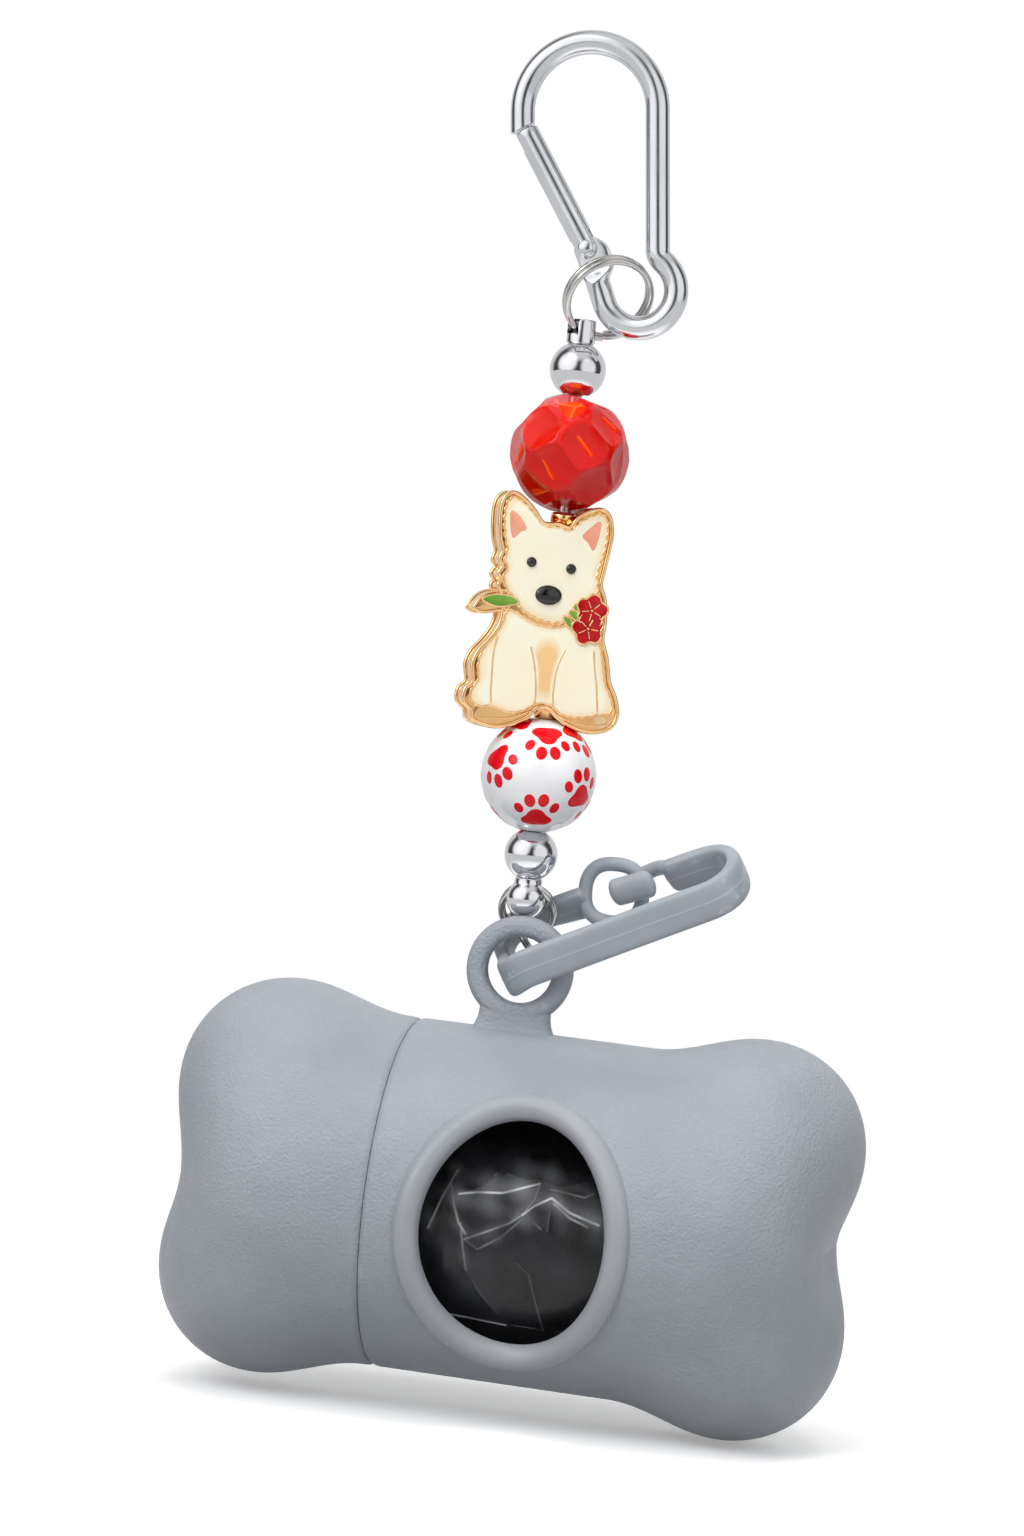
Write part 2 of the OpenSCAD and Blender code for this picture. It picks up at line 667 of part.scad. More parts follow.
// Band's section, with rounded corners
band_round = 0.55;
band_section =
    let (x = band_t / 2, y = band_w / 2, r = band_round)
    [for (c = [[x - r, y - r, 0], [-x + r, y - r, 90], [-x + r, -y + r, 180], [x - r, -y + r, 270]],
          a = [0, 45, 90]) [c[0] + r * cos(c[2] + a), c[1] + r * sin(c[2] + a)]];
function lean_dir(lean) = cos(lean) * across - sin(lean) * back;
function band_ring(p, dir, lean) =
    let (n = lean_dir(lean), up = unit(n - (n * dir) * dir))
    placed(band_section, p, cross(dir, up), up);
function band_rings(piece, from, to, steps, last = false) =
    [for (i = [0 : last ? steps : steps - 1])
        let (t = i / steps, p = bezier(piece, t),
             dir = unit(bezier(piece, min(t + 0.01, 1)) - bezier(piece, max(t - 0.01, 0))))
        band_ring(p, dir, mix(from, to, ease(t)))];

module strap_hook() {
    // Tongue behind the eye, neck through it, and a thick head in front of its right side
    u = -far_dir;
    w = lean_dir(8);
    d = eye_wire;
    tongue = [eye_c + u * 8.2 + w * 0.9, eye_c + u * 6.8 + w * 1.5 + back * 1.4, eye_c + u * 3.6 + w * 1.2 + back * 2.4,
              eye_c + u * 0.9 + w * 0.4 + back * 2.3];
    for (i = [0 : 2])
        hull() for (p = [tongue[i], tongue[i + 1]])
            translate(p)
                sphere(d = d * 1.05, $fn = 14);
    hull() for (p = [tongue[3], eye_c + u * 0.9 - back * 2.5])
        translate(p)
            sphere(d = d, $fn = 14);
    hull() for (a = [0.9, 5.2], b = [-0.9, 0.9])
        translate(eye_c + u * a + w * b - back * 2.5)
            sphere(d = d * 1.1, $fn = 14);
}
module clip_strap() {
    color(grey) {
        skin(concat(
            band_rings(rest_piece, lean_eye, lean_far, 4),
            band_rings(bend_piece, lean_far, lean_hole, 16),
            band_rings(hole_piece, lean_hole, lean_near, 10),
            band_rings(near_piece, lean_near, lean_near, 6),
            band_rings(turn_piece, lean_near, lean_turn, 16),
            band_rings(stop_piece, lean_turn, lean_stop, 3, true)));
        translate(eye_c)
            rotate([90, 0, 0])
                rotate_extrude()
                    translate([eye_r_mid, 0])
                        circle(d = eye_wire);
        strap_hook();
    }
}

// ---- bone case: a round core blended with four lobes, found along rays from the axis ----
core_round = 15;
blend = 6;
lobe_flat = 0.8;
function soft_min(a, b, k) = min(a, b) - pow(max(k - abs(a - b), 0) / k, 2) * k / 4;
function core_field(p) =
    let (q = [norm([p[1], p[2]]) - (core_d / 2 - core_round), abs(p[0]) - (core_len / 2 - core_round)])
    min(max(q[0], q[1]), 0) + norm([max(q[0], 0), max(q[1], 0)]) - core_round;
function lobe_field(p) = norm([abs(p[0]) - lobe_x, p[1] * lobe_flat, abs(p[2]) - lobe_z]) - lobe_r;
function bone_field(p) = soft_min(core_field(p), lobe_field(p), blend);
function bone_hit(o, dir, depth, lo, hi, n) =
    n == 0 ? (lo + hi) / 2 :
    let (m = (lo + hi) / 2)
    bone_field(o + dir * m) < -depth ? bone_hit(o, dir, depth, m, hi, n - 1) : bone_hit(o, dir, depth, lo, m, n - 1);
function bone_point(x, tilt, a, depth) =
    let (o = [x, 0, 0], dir = [sin(tilt), cos(tilt) * cos(a), cos(tilt) * sin(a)])
    o + dir * bone_hit(o, dir, depth, 0, 60, 17);

sides = 40;
fan_x = 21;
fan_end = 33;
// Stations along one end: upright rings up to fan_x, then rings that fan out over the end
function station(i, straight, fan, from) =
    i <= straight ? [mix(from, fan_x, i / straight), 0] :
    let (t = (i - straight) / fan) [mix(fan_x, fan_end, t), 87 * t];
function bone_ring(s, depth, side) =
    [for (j = [0 : sides - 1]) bone_point(side * s[0], side * s[1], 360 * j / sides, depth)];
function end_rings(from, straight, fan, depth, side) =
    [for (i = [0 : straight + fan]) bone_ring(station(i, straight, fan, from), depth, side)];
function turned(list) = [for (i = [len(list) - 1 : -1 : 0]) list[i]];
// Shell of one end, open at the seam: outer skin out to the end and inner skin back again
module bone_end(from, side, straight, fan) {
    inner = end_rings(from, max(2, floor(straight / 2)), max(6, floor(fan * 0.6)), case_wall, side);
    outer = end_rings(from, straight, fan, 0, side);
    skin(side > 0 ? concat(turned(outer), inner) : concat(turned(inner), outer));
}

collar_len = 6;
collar_r = core_d / 2 - case_wall + 0.15;
collar_wall = 1.3;
window_c = [4.5, 0, -1.3];
rim_mid = [(window_w + rim_d) / 2, (window_h + rim_d) / 2];
// The wall's edge is buried in the rim, a little inside the rim's centre line
rim_bury = 0.5;
module window_hole() {
    half = [rim_mid[0] - rim_bury, rim_mid[1] - rim_bury];
    translate([window_c[0], 0, window_c[2]])
        rotate([90, 0, 0])
            linear_extrude(core_d)
                polygon([for (a = [0 : 9 : 351]) [half[0] * cos(a), half[1] * sin(a)]]);
}
module window_rim() {
    section = round_section(rim_d / 2, 10);
    n = 44;
    skin([for (i = [0 : n - 1])
        let (a = 360 * i / n,
             x = window_c[0] + rim_mid[0] * cos(a), z = window_c[2] + rim_mid[1] * sin(a),
             y = -sqrt(pow(core_d / 2, 2) - z * z) + 0.45,
             up = unit([0, y, z]),
             flow = unit([-rim_mid[0] * sin(a), 0, rim_mid[1] * cos(a)]),
             dir = unit(flow - (flow * up) * up))
        placed(section, [x, y, z], up, cross(up, dir))], closed = true);
}
// Half of the hanging eye's section, with round edges
eye_round_out = 1.2;
eye_round_in = 0.6;
module eye_section() {
    from = eyelet_id / 2;
    to = eyelet_od / 2;
    translate([from + eye_round_in, -eyelet_t / 2])
        square([to - from - eye_round_in - eye_round_out, eyelet_t]);
    translate([from, eye_round_in - eyelet_t / 2])
        square([eye_round_in + 0.1, eyelet_t - 2 * eye_round_in]);
    translate([to - eye_round_out - 0.1, eye_round_out - eyelet_t / 2])
        square([eye_round_out + 0.1, eyelet_t - 2 * eye_round_out]);
    for (side = [-1, 1]) {
        translate([from + eye_round_in, side * (eyelet_t / 2 - eye_round_in)])
            circle(r = eye_round_in);
        translate([to - eye_round_out, side * (eyelet_t / 2 - eye_round_out)])
            circle(r = eye_round_out);
    }
}
neck_half = 4.7;
neck_flare = 1.7;
module eyelet_tab() {
    foot = eyelet_rise - core_d / 2 + 1.2;
    profile = [for (t = [0 : 0.125 : 1]) [neck_half + neck_flare * pow(t, 3), mix(-eyelet_od * 0.33, -foot, t)]];
    translate([-eyelet_back, 0, eyelet_rise]) {
        upright(-eyelet_t / 2, eyelet_t / 2)
            polygon(concat(profile, [for (p = turned(profile)) [-p[0], p[1]]]));
        rotate([90, 0, 0])
            rotate_extrude()
                eye_section();
    }
}
module body_shell() {
    color(grey) in_bone() {
        difference() {
            bone_end(seam_x, 1, 9, 13);
            window_hole();
        }
        window_rim();
        eyelet_tab();
        // Collar that the cap pushes over
        translate([seam_x - collar_len, 0, 0])
            rotate([0, 90, 0])
                difference() {
                    cylinder(r = collar_r, h = collar_len + 4);
                    translate([0, 0, -1])
                        cylinder(r = collar_r - collar_wall, h = collar_len + 6);
                }
    }
}
seam_gap = 0.1;
module cap_shell() {
    color(grey) in_bone() difference() {
        bone_end(-seam_x + seam_gap, -1, 3, 13);
        translate([seam_x - collar_len - 0.6, 0, 0])
            rotate([0, 90, 0])
                cylinder(r = collar_r + run_gap, h = collar_len + 1);
    }
}

// ---- bags ----
roll_top = roll_d / 2 + film_t + run_gap;
roll_z = -(collar_r - collar_wall - free_gap / 2 - roll_top);
module along_bone(z, x = 0) {
    in_bone()
        translate([x, 0, z])
            rotate([0, 90, 0])
                children();
}
module bag_roll() {
    color([0.1, 0.1, 0.11]) along_bone(roll_z) difference() {
        cylinder(d = roll_d, h = roll_len, center = true);
        cylinder(d = core_tube_d, h = roll_len + 1, center = true);
    }
}
module roll_core() {
    color([0.62, 0.48, 0.34]) along_bone(roll_z) difference() {
        cylinder(d = core_tube_d, h = roll_len + 0.6, center = true);
        cylinder(d = core_tube_d - 2 * core_tube_wall, h = roll_len + 2, center = true);
    }
}
film_w = 0.86;
module leading_bag() {
    color([0.13, 0.13, 0.14]) along_bone(roll_z)
        translate([0, 0, -film_w * roll_len / 2])
            rotate([0, 0, 190])
                rotate_extrude(angle = 160)
                    translate([roll_d / 2 + run_gap, 0])
                        square([film_t, film_w * roll_len]);
}

carabiner_frame();
carabiner_gate();
gate_rivet();
gate_spring();
gate_plunger();
top_split_ring();
bail_head();
top_ball();
bead_rod();
red_bead();
charm_body();
charm_fur();
charm_shade();
charm_ears();
charm_face();
charm_leaves();
charm_flower();
white_bead();
low_ball();
small_split_ring();
jump_ring();
clip_strap();
body_shell();
cap_shell();
bag_roll();
roll_core();
leading_bag();
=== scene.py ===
"""Looks of a dog poop bag dispenser on its bead chain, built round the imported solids.

Lengths are typed in millimetres, in the part's own places, and become metres in the meshes.
"""
import math

import bmesh
import bpy
import numpy as np
from mathutils import Matrix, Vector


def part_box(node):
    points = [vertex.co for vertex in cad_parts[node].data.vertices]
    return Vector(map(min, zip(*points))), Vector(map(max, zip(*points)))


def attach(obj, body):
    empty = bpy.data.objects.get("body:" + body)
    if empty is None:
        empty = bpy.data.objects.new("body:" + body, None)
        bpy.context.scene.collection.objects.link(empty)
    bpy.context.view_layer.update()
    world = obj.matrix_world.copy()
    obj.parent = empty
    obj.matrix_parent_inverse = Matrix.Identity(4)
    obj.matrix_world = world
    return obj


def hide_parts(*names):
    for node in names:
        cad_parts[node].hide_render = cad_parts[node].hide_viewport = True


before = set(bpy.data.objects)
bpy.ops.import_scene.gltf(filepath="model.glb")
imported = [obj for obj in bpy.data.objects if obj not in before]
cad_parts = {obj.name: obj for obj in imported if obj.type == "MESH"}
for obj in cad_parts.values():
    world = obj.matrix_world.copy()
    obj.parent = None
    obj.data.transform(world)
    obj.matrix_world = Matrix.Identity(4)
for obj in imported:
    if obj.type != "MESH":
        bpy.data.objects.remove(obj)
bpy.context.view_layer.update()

MM = 0.001

# ---- sizes of the solids, in millimetres ----
BAR_R = 1.6
TOP_BEND_R = 9.0
HOOK_R = 4.9
HOOK_C = np.array([6.53, 0.0, -23.75])
NECK_R = 2.0
NECK_C = np.array([11.0, 0.0, -18.49])
NECK_TURN = 49.62
TAIL_LEAN = 17.4
TAIL_LEN = 7.4
CARABINER_LEAN = 5.65
TOP_C = np.array([0.0, 0.0, -7.4])
NOSE_C = np.array([-9.0, 0.0, -1.6])
GATE_LEAN = 27.565
GATE_LEN = 17.79
GATE_R, GATE_WALL, GATE_SLOT_GAP = 1.6, 0.45, 0.15
SPRING_TURNS, SPRING_R, SPRING_WIRE_R, SPRING_LOW = 7, 0.86, 0.15, 3.5
TONGUE_T = 1.3
CHAIN_X = 1.698
SEAT_R = 1.7
SLOT_P = np.array([CHAIN_X, 0.0, -36.287])
BAIL_D, BAIL_H, BAIL_FOOT_Z = 3.8, 3.3, -38.087
ROD_D = 1.8
FOOT_TOP_Z, FOOT_BALL_Z, FOOT_BALL_D, FOOT_NECK = -108.623, -111.403, 5.4, 1.4
SMALL_SLOT_P = np.array([CHAIN_X, 0.0, -109.748])
SMALL_LEAN = 23.7
RING_R, RING_WIRE, SMALL_R, SMALL_WIRE, JUMP_R, JUMP_WIRE = 5.7, 0.9, 3.475, 0.85, 4.6, 1.0
RING_MOUTH, STEP_TURN = 5.0, 46.0
EYELET_C = np.array([2.298, -3.1, -120.603])
JUMP_C = EYELET_C + [-0.438, 8.646, 4.67]
EYELET_OD, EYELET_ID, EYELET_T = 14.2, 8.7, 3.3
EYELET_BACK, EYELET_RISE = 2.35, 31.1
BONE_LEAN = 1.2
CORE_LEN, CORE_D, CORE_ROUND = 84.6, 46.2, 15.0
LOBE_R, LOBE_X, LOBE_Z, LOBE_FLAT, BLEND = 13.2, 32.2, 12.7, 0.8, 6.0
CASE_WALL = 2.0
SEAM_X, SEAM_GAP = -15.0, 0.1
COLLAR_R, COLLAR_WALL, COLLAR_LEN = 21.25, 1.3, 6.0
FAN_X, FAN_END, FAN_TILT = 21.0, 33.0, 87.0
WINDOW_C = np.array([4.5, 0.0, -1.3])
RIM_MID = np.array([13.7, 16.2])
RIM_R = 1.7
ROLL_D, ROLL_LEN, CORE_TUBE_D, CORE_TUBE_WALL = 33.0, 60.0, 13.0, 1.0
ROLL_Z = -2.85
CHARM_T, CHARM_TURN, CHARM_MID_Z, CHARM_H = 6.6, 20.0, -73.89, 27.3


# ---- small maths ----
def unit(v):
    """Vectors along the last axis, each divided by its length."""
    v = np.asarray(v, float)
    return v / np.linalg.norm(v, axis=-1, keepdims=True)


def mix(a, b, t):
    """a where t is 0, b where t is 1."""
    return a * (1 - t) + b * t


def ease(t):
    """Smooth step from 0 to 1, with level ends."""
    t = np.clip(t, 0, 1)
    return t * t * (3 - 2 * t)


def turn(x=0.0, y=0.0, z=0.0):
    """Matrix that turns about X, then Y, then Z, by degrees."""
    cx, cy, cz = (math.cos(math.radians(a)) for a in (x, y, z))
    sx, sy, sz = (math.sin(math.radians(a)) for a in (x, y, z))
    about_x = np.array([[1, 0, 0], [0, cx, -sx], [0, sx, cx]])
    about_y = np.array([[cy, 0, sy], [0, 1, 0], [-sy, 0, cy]])
    about_z = np.array([[cz, -sz, 0], [sz, cz, 0], [0, 0, 1]])
    return about_z @ about_y @ about_x


def in_carabiner(p):
    """From the carabiner's own place, where its bend is centred, to the row's."""
    return np.asarray(p) @ turn(y=-CARABINER_LEAN).T + TOP_C


TAIL_DIR = np.array([-math.sin(math.radians(TAIL_LEAN)), 0, math.cos(math.radians(TAIL_LEAN))])
HOOK_END = 180 + TAIL_LEAN
HOOK_OUT = np.array([math.cos(math.radians(HOOK_END)), 0, math.sin(math.radians(HOOK_END))])
TAIL_FOOT = HOOK_C + HOOK_R * HOOK_OUT
RIVET_C = TAIL_FOOT + TAIL_LEN * TAIL_DIR


def in_gate(p):
    """From the gate's own place, with the rivet at 0 and the gate along Z."""
    return in_carabiner(np.asarray(p) @ turn(y=-GATE_LEAN).T + RIVET_C)


def in_bone(p):
    """From the bone's own place, with its length along X and its middle at 0."""
    return (np.asarray(p) + [EYELET_BACK, 0, -EYELET_RISE]) @ turn(y=BONE_LEAN).T + EYELET_C


def in_roll(p):
    """From the roll's own axis, which lies along X."""
    return in_bone(np.asarray(p) + [0, 0, ROLL_Z])


def in_charm(p):
    """From the charm's own place, with its face to -Y."""
    return np.asarray(p) @ turn(z=CHARM_TURN).T + [CHAIN_X, 0, CHARM_MID_Z]


def in_small_ring(p):
    """From the small split ring's middle, with its axis along Z."""
    return (np.asarray(p) + [0, SMALL_R, 0]) @ turn(x=SMALL_LEAN - 90).T + SMALL_SLOT_P


# ---- meshes from grids of points ----
def grid_faces(rows, cols, wrap_rows, wrap_cols):
    """Quads between neighbours in a grid of points numbered row by row."""
    i, j = np.meshgrid(np.arange(rows if wrap_rows else rows - 1),
                       np.arange(cols if wrap_cols else cols - 1), indexing="ij")
    i2, j2 = (i + 1) % rows, (j + 1) % cols
    return np.stack([i * cols + j, i * cols + j2, i2 * cols + j2, i2 * cols + j], -1).reshape(-1, 4)


def patch(points, wrap_rows=False, marks=0.0):
    """Closed surface from a grid (rows, columns, 3) whose columns run round. Each open row end
    gets a fan to its mean point. Faces are turned outwards by the sign of the volume that they
    enclose. marks is one number for each point."""
    rows, cols = points.shape[:2]
    quads, tris = grid_faces(rows, cols, wrap_rows, True), np.zeros((0, 3), int)
    marks = np.broadcast_to(marks, (rows, cols))
    flat, values = points.reshape(-1, 3), marks.reshape(-1)
    if not wrap_rows:
        j = np.arange(cols)
        low = np.stack([(j + 1) % cols, j, np.full(cols, rows * cols)], -1)
        high = (rows - 1) * cols + np.stack([j, (j + 1) % cols, np.full(cols, cols + 1)], -1)
        tris = np.concatenate([low, high])
        flat = np.concatenate([flat, [points[0].mean(0), points[-1].mean(0)]])
        values = np.concatenate([values, [marks[0].mean(), marks[-1].mean()]])
    corners = np.concatenate([quads[:, [0, 1, 2]], quads[:, [0, 2, 3]], tris])
    a, b, c = (flat[corners[:, k]] - flat.mean(0) for k in range(3))
    if (a * np.cross(b, c)).sum() < 0:
        quads, tris = quads[:, ::-1], tris[:, ::-1]
    return flat, quads, tris, values


def moved(part, place):
    """The same patch with its points put through a placing function."""
    return (place(part[0]),) + part[1:]


def shifted(part, by):
    """The same patch moved by a vector."""
    return moved(part, lambda p: p + by)


def dress(obj, body, replaces=()):
    """Makes the object ride on a body, in place of the nodes it replaces."""
    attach(obj, body)
    if replaces:
        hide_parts(*replaces)
    return obj


def piece(name, parts, material, body=None, replaces=(), sharp=42.0):
    """One object from several closed patches, with their marks as its rim attribute."""
    offsets = np.cumsum([0] + [len(p[0]) for p in parts])
    quads, tris = (np.concatenate([p[k] + o for p, o in zip(parts, offsets)]) for k in (1, 2))
    corners = np.concatenate([quads.ravel(), tris.ravel()])
    starts = np.concatenate([np.arange(len(quads)) * 4, quads.size + np.arange(len(tris)) * 3])
    mesh = bpy.data.meshes.new(name)
    mesh.vertices.add(offsets[-1])
    mesh.loops.add(len(corners))
    mesh.polygons.add(len(starts))
    mesh.vertices.foreach_set("co", (np.concatenate([p[0] for p in parts]) * MM).astype(np.float32).ravel())
    mesh.loops.foreach_set("vertex_index", corners.astype(np.int32))
    mesh.polygons.foreach_set("loop_start", starts.astype(np.int32))
    mesh.update(calc_edges=True)
    mesh.validate()
    rim = mesh.attributes.new("rim", "FLOAT", "POINT")
    rim.data.foreach_set("value", np.concatenate([p[3] for p in parts]).astype(np.float32))
    obj = bpy.data.objects.new(name, mesh)
    bpy.context.scene.collection.objects.link(obj)
    if material:
        mesh.materials.append(material)
    smooth(obj, sharp)
    return dress(obj, body, replaces) if body else obj


def smooth(obj, sharp):
    """Smooth shading, with edges sharper than the angle kept crisp."""
    obj.data.shade_smooth()
    obj.data.set_sharp_from_angle(angle=math.radians(sharp))


def carve(obj, parts, edge=0.0, sharp=42.0):
    """Cuts closed patches out of obj, rounds its edges by edge, and keeps the result as its mesh."""
    tools = [piece("tool", [part], None) for part in parts]
    for tool in tools:
        cut = obj.modifiers.new("cut", "BOOLEAN")
        cut.operation, cut.solver, cut.object = "DIFFERENCE", "EXACT", tool
    if edge:
        rounding = obj.modifiers.new("edge", "BEVEL")
        rounding.width, rounding.segments = edge * MM, 2
        rounding.limit_method, rounding.angle_limit = "ANGLE", math.radians(45)
    graph = bpy.context.evaluated_depsgraph_get()
    mesh = bpy.data.meshes.new_from_object(obj.evaluated_get(graph))
    obj.modifiers.clear()
    obj.data = mesh
    for tool in tools:
        bpy.data.objects.remove(tool)
    smooth(obj, sharp)


# ---- profiles and paths ----
def circle(n, r=1.0, start=0.0):
    """n points (cos, sin) * r round a circle."""
    a = np.radians(start) + 2 * np.pi * np.arange(n) / n
    return np.stack([np.cos(a), np.sin(a)], -1) * r


def squircle(n, half_a, half_b, power):
    """Points of |x/a|^power + |y/b|^power = 1, evenly spaced by angle."""
    c = circle(n)
    r = (np.abs(c) ** power).sum(-1) ** (-1 / power)
    return c * r[:, None] * [half_a, half_b]


def swept(path, a, b, section, closed=False, marks=0.0):
    """Section points (u, v) carried along the path as path + u*a + v*b. Directions and section
    may be one for the whole path, or one for each of its points."""
    section = np.broadcast_to(section, (len(path),) + np.shape(section)[-2:])
    a, b = (np.broadcast_to(v, path.shape)[:, None] for v in (a, b))
    points = path[:, None] + a * section[..., :1] + b * section[..., 1:]
    return patch(points, wrap_rows=closed, marks=marks)


def turned(profile, cols=96, centre=(0, 0, 0), closed=False):
    """Profile points (radius, height) turned about Z. An open profile is closed at its ends."""
    profile = np.asarray(profile, float)
    c = circle(cols)
    points = np.stack([profile[:, :1] * c[:, 0], profile[:, :1] * c[:, 1],
                       np.broadcast_to(profile[:, 1:], (len(profile), cols))], -1)
    return patch(points + np.array(centre), wrap_rows=closed)


def bezier(p, t):
    """Cubic through p[0] and p[3], drawn towards p[1] and p[2]."""
    p, t = np.asarray(p, float), t[:, None]
    return ((1 - t) ** 3 * p[0] + 3 * (1 - t) ** 2 * t * p[1]
            + 3 * (1 - t) * t * t * p[2] + t ** 3 * p[3])


def rounded_steps(a, b, c, d, steps):
    """Cubic of steps points from each b towards its c, along c - a at b and d - b at c."""
    t = (np.arange(steps) / steps)[None, :, None]
    a, b, c, d = (q[:, None] for q in (a, b, c, d))
    curve = 0.5 * (2 * b + (c - a) * t + (2 * a - 5 * b + 4 * c - d) * t ** 2
                   + (3 * b - a - 3 * c + d) * t ** 3)
    return curve.reshape(-1, curve.shape[-1])


def smooth_loop(p, steps):
    """Closed outline through the points p."""
    p = np.asarray(p, float)
    return rounded_steps(np.roll(p, 1, 0), p, np.roll(p, -1, 0), np.roll(p, -2, 0), steps)


def smooth_path(p, steps):
    """Open path through the points p, carried straight on past its ends."""
    p = np.concatenate([[2 * p[0] - p[1]], p, [2 * p[-1] - p[-2]]])
    return np.concatenate([rounded_steps(p[:-3], p[1:-2], p[2:-1], p[3:], steps), p[-2:-1]])


def arc_xz(centre, r, start, end, n):
    """Points round a centre in XZ, from start to end degrees, with the outward directions."""
    a = np.radians(np.linspace(start, end, n))
    out = np.stack([np.cos(a), 0 * a, np.sin(a)], -1)
    return centre + r * out, out


def beaded_tube(path, r, cols=14, closed=False):
    """Round wire along a path, on frames turned as little as possible; its ends are half balls."""
    ahead = np.roll(path, -1, 0) - np.roll(path, 1, 0) if closed else np.gradient(path, axis=0)
    t = unit(ahead)
    side = np.zeros_like(path)
    side[0] = unit(np.cross(t[0], [0, 1, 0] if abs(t[0][1]) < 0.9 else [1, 0, 0]))
    for k in range(1, len(path)):
        side[k] = unit(side[k - 1] - (side[k - 1] @ t[k]) * t[k])
    other = np.cross(t, side)
    if closed:
        return swept(path, side, other, circle(cols, r), closed=True)
    a = np.radians([80, 60, 40, 20])
    back = path[0] - t[0] * (r * np.sin(a))[:, None]
    front = path[-1] + t[-1] * (r * np.sin(a[::-1]))[:, None]
    scale = np.concatenate([np.cos(a), np.ones(len(path)), np.cos(a[::-1])])
    side, other = (np.pad(v, ((4, 4), (0, 0)), "edge") for v in (side, other))
    return swept(np.concatenate([back, path, front]), side, other, circle(cols, r) * scale[:, None, None])


# ---- materials: nodes, and node groups that several materials use ----
def link(tree, value, socket):
    """Joins another node's output to a socket, or types a number, vector or colour into it."""
    if isinstance(value, bpy.types.NodeSocket):
        tree.links.new(value, socket)
    else:
        socket.default_value = value


def node(tree, kind, output, inputs=(), **fields):
    """An output of a new node. Its fields are set first, then its inputs, which are a dict by
    name or a sequence by number."""
    made = tree.nodes.new("ShaderNode" + kind)
    for label, value in fields.items():
        setattr(made, label, value)
    for label, value in inputs.items() if isinstance(inputs, dict) else enumerate(inputs):
        link(tree, value, made.inputs[label])
    return made.outputs[output]


def reckon(tree, operation, *values):
    """The result of a Math node."""
    return node(tree, "Math", 0, values, operation=operation)


def ranged(tree, source, low, high, to_low=0.0, to_high=1.0, **fields):
    """Maps source from low..high to to_low..to_high, clamped."""
    return node(tree, "MapRange", "Result", {"Value": source, "From Min": low, "From Max": high,
                                             "To Min": to_low, "To Max": to_high}, **fields)


def noise(tree, scale, detail=3.0, rough=0.55, place=None):
    """Noise in lumps of about 1/scale metres, on Object coordinates unless a place is given."""
    place = place or node(tree, "TexCoord", "Object")
    return node(tree, "TexNoise", "Fac", {"Vector": place, "Scale": scale, "Detail": detail,
                                          "Roughness": rough})


def blend(tree, share, a, b):
    """Colour a where the share is 0, and b where it is 1."""
    return node(tree, "Mix", "Result", {"Factor": share, "A": a, "B": b}, data_type="RGBA")


def node_group(name, inputs, output, kind="NodeSocketFloat"):
    """An empty group with inputs (name: value) and one output: the group, the sockets that
    bring its inputs, and the socket that takes its result."""
    group = bpy.data.node_groups.new(name, "ShaderNodeTree")
    for label, value in inputs.items():
        of_kind = "NodeSocketFloat" if isinstance(value, float) else "NodeSocketColor"
        socket = group.interface.new_socket(name=label, in_out="INPUT", socket_type=of_kind)
        socket.default_value = value
    group.interface.new_socket(name=output, in_out="OUTPUT", socket_type=kind)
    return group, group.nodes.new("NodeGroupInput").outputs, group.nodes.new("NodeGroupOutput").inputs[0]


def make_tone_drift():
    """Colour that drifts between two tones in soft clouds."""
    grey = (0.5, 0.5, 0.5, 1)
    group, enter, leave = node_group("tone_drift", {"Tone A": grey, "Tone B": grey, "Scale": 60.0},
                                     "Color", "NodeSocketColor")
    share = ranged(group, noise(group, enter["Scale"]), 0.32, 0.68)
    link(group, blend(group, share, enter["Tone A"], enter["Tone B"]), leave)
    return group


def make_grain():
    """Height of a fine moulded grain: small cells, plus swells of 3 mm times the Swell."""
    group, enter, leave = node_group("grain", {"Scale": 3000.0, "Swell": 0.3}, "Height")
    fine = noise(group, enter["Scale"], 2.0, 0.6)
    link(group, reckon(group, "MULTIPLY_ADD", noise(group, 350.0, 1.0), enter["Swell"], fine), leave)
    return group


def make_rubbed():
    """Roughness between two values: streaks from handling, stretched along Z."""
    group, enter, leave = node_group("rubbed", {"Clean": 0.1, "Rubbed": 0.3, "Scale": 400.0}, "Roughness")
    place = node(group, "Mapping", 0, {"Vector": node(group, "TexCoord", "Object"), "Scale": (1, 1, 0.25)})
    streaks = noise(group, enter["Scale"], 5.0, 0.65, place)
    link(group, ranged(group, streaks, 0.35, 0.72, enter["Clean"], enter["Rubbed"]), leave)
    return group


def make_edge_wear():
    """Mask of the outer edges, from how sharply the surface turns, broken up by noise."""
    group, enter, leave = node_group("edge_wear", {"Start": 0.52, "Full": 0.6}, "Mask")
    turns = node(group, "NewGeometry", "Pointiness")
    spots = ranged(group, noise(group, 900.0), 0.3, 0.6, 0.25, 1.0)
    link(group, reckon(group, "MULTIPLY", ranged(group, turns, enter["Start"], enter["Full"]), spots), leave)
    return group


TONE_DRIFT, GRAIN, RUBBED, EDGE_WEAR = make_tone_drift(), make_grain(), make_rubbed(), make_edge_wear()


def srgb(rgb):
    """Colour of screen values 0..255 as linear light with alpha 1."""
    c = np.array(rgb) / 255
    return tuple(np.where(c <= 0.04045, c / 12.92, ((c + 0.055) / 1.055) ** 2.4)) + (1.0,)


def use(tree, group, **values):
    """The result of a group that is placed in a material with its own values."""
    named = {label.replace("_", " "): value for label, value in values.items()}
    return node(tree, "Group", 0, named, node_tree=group)


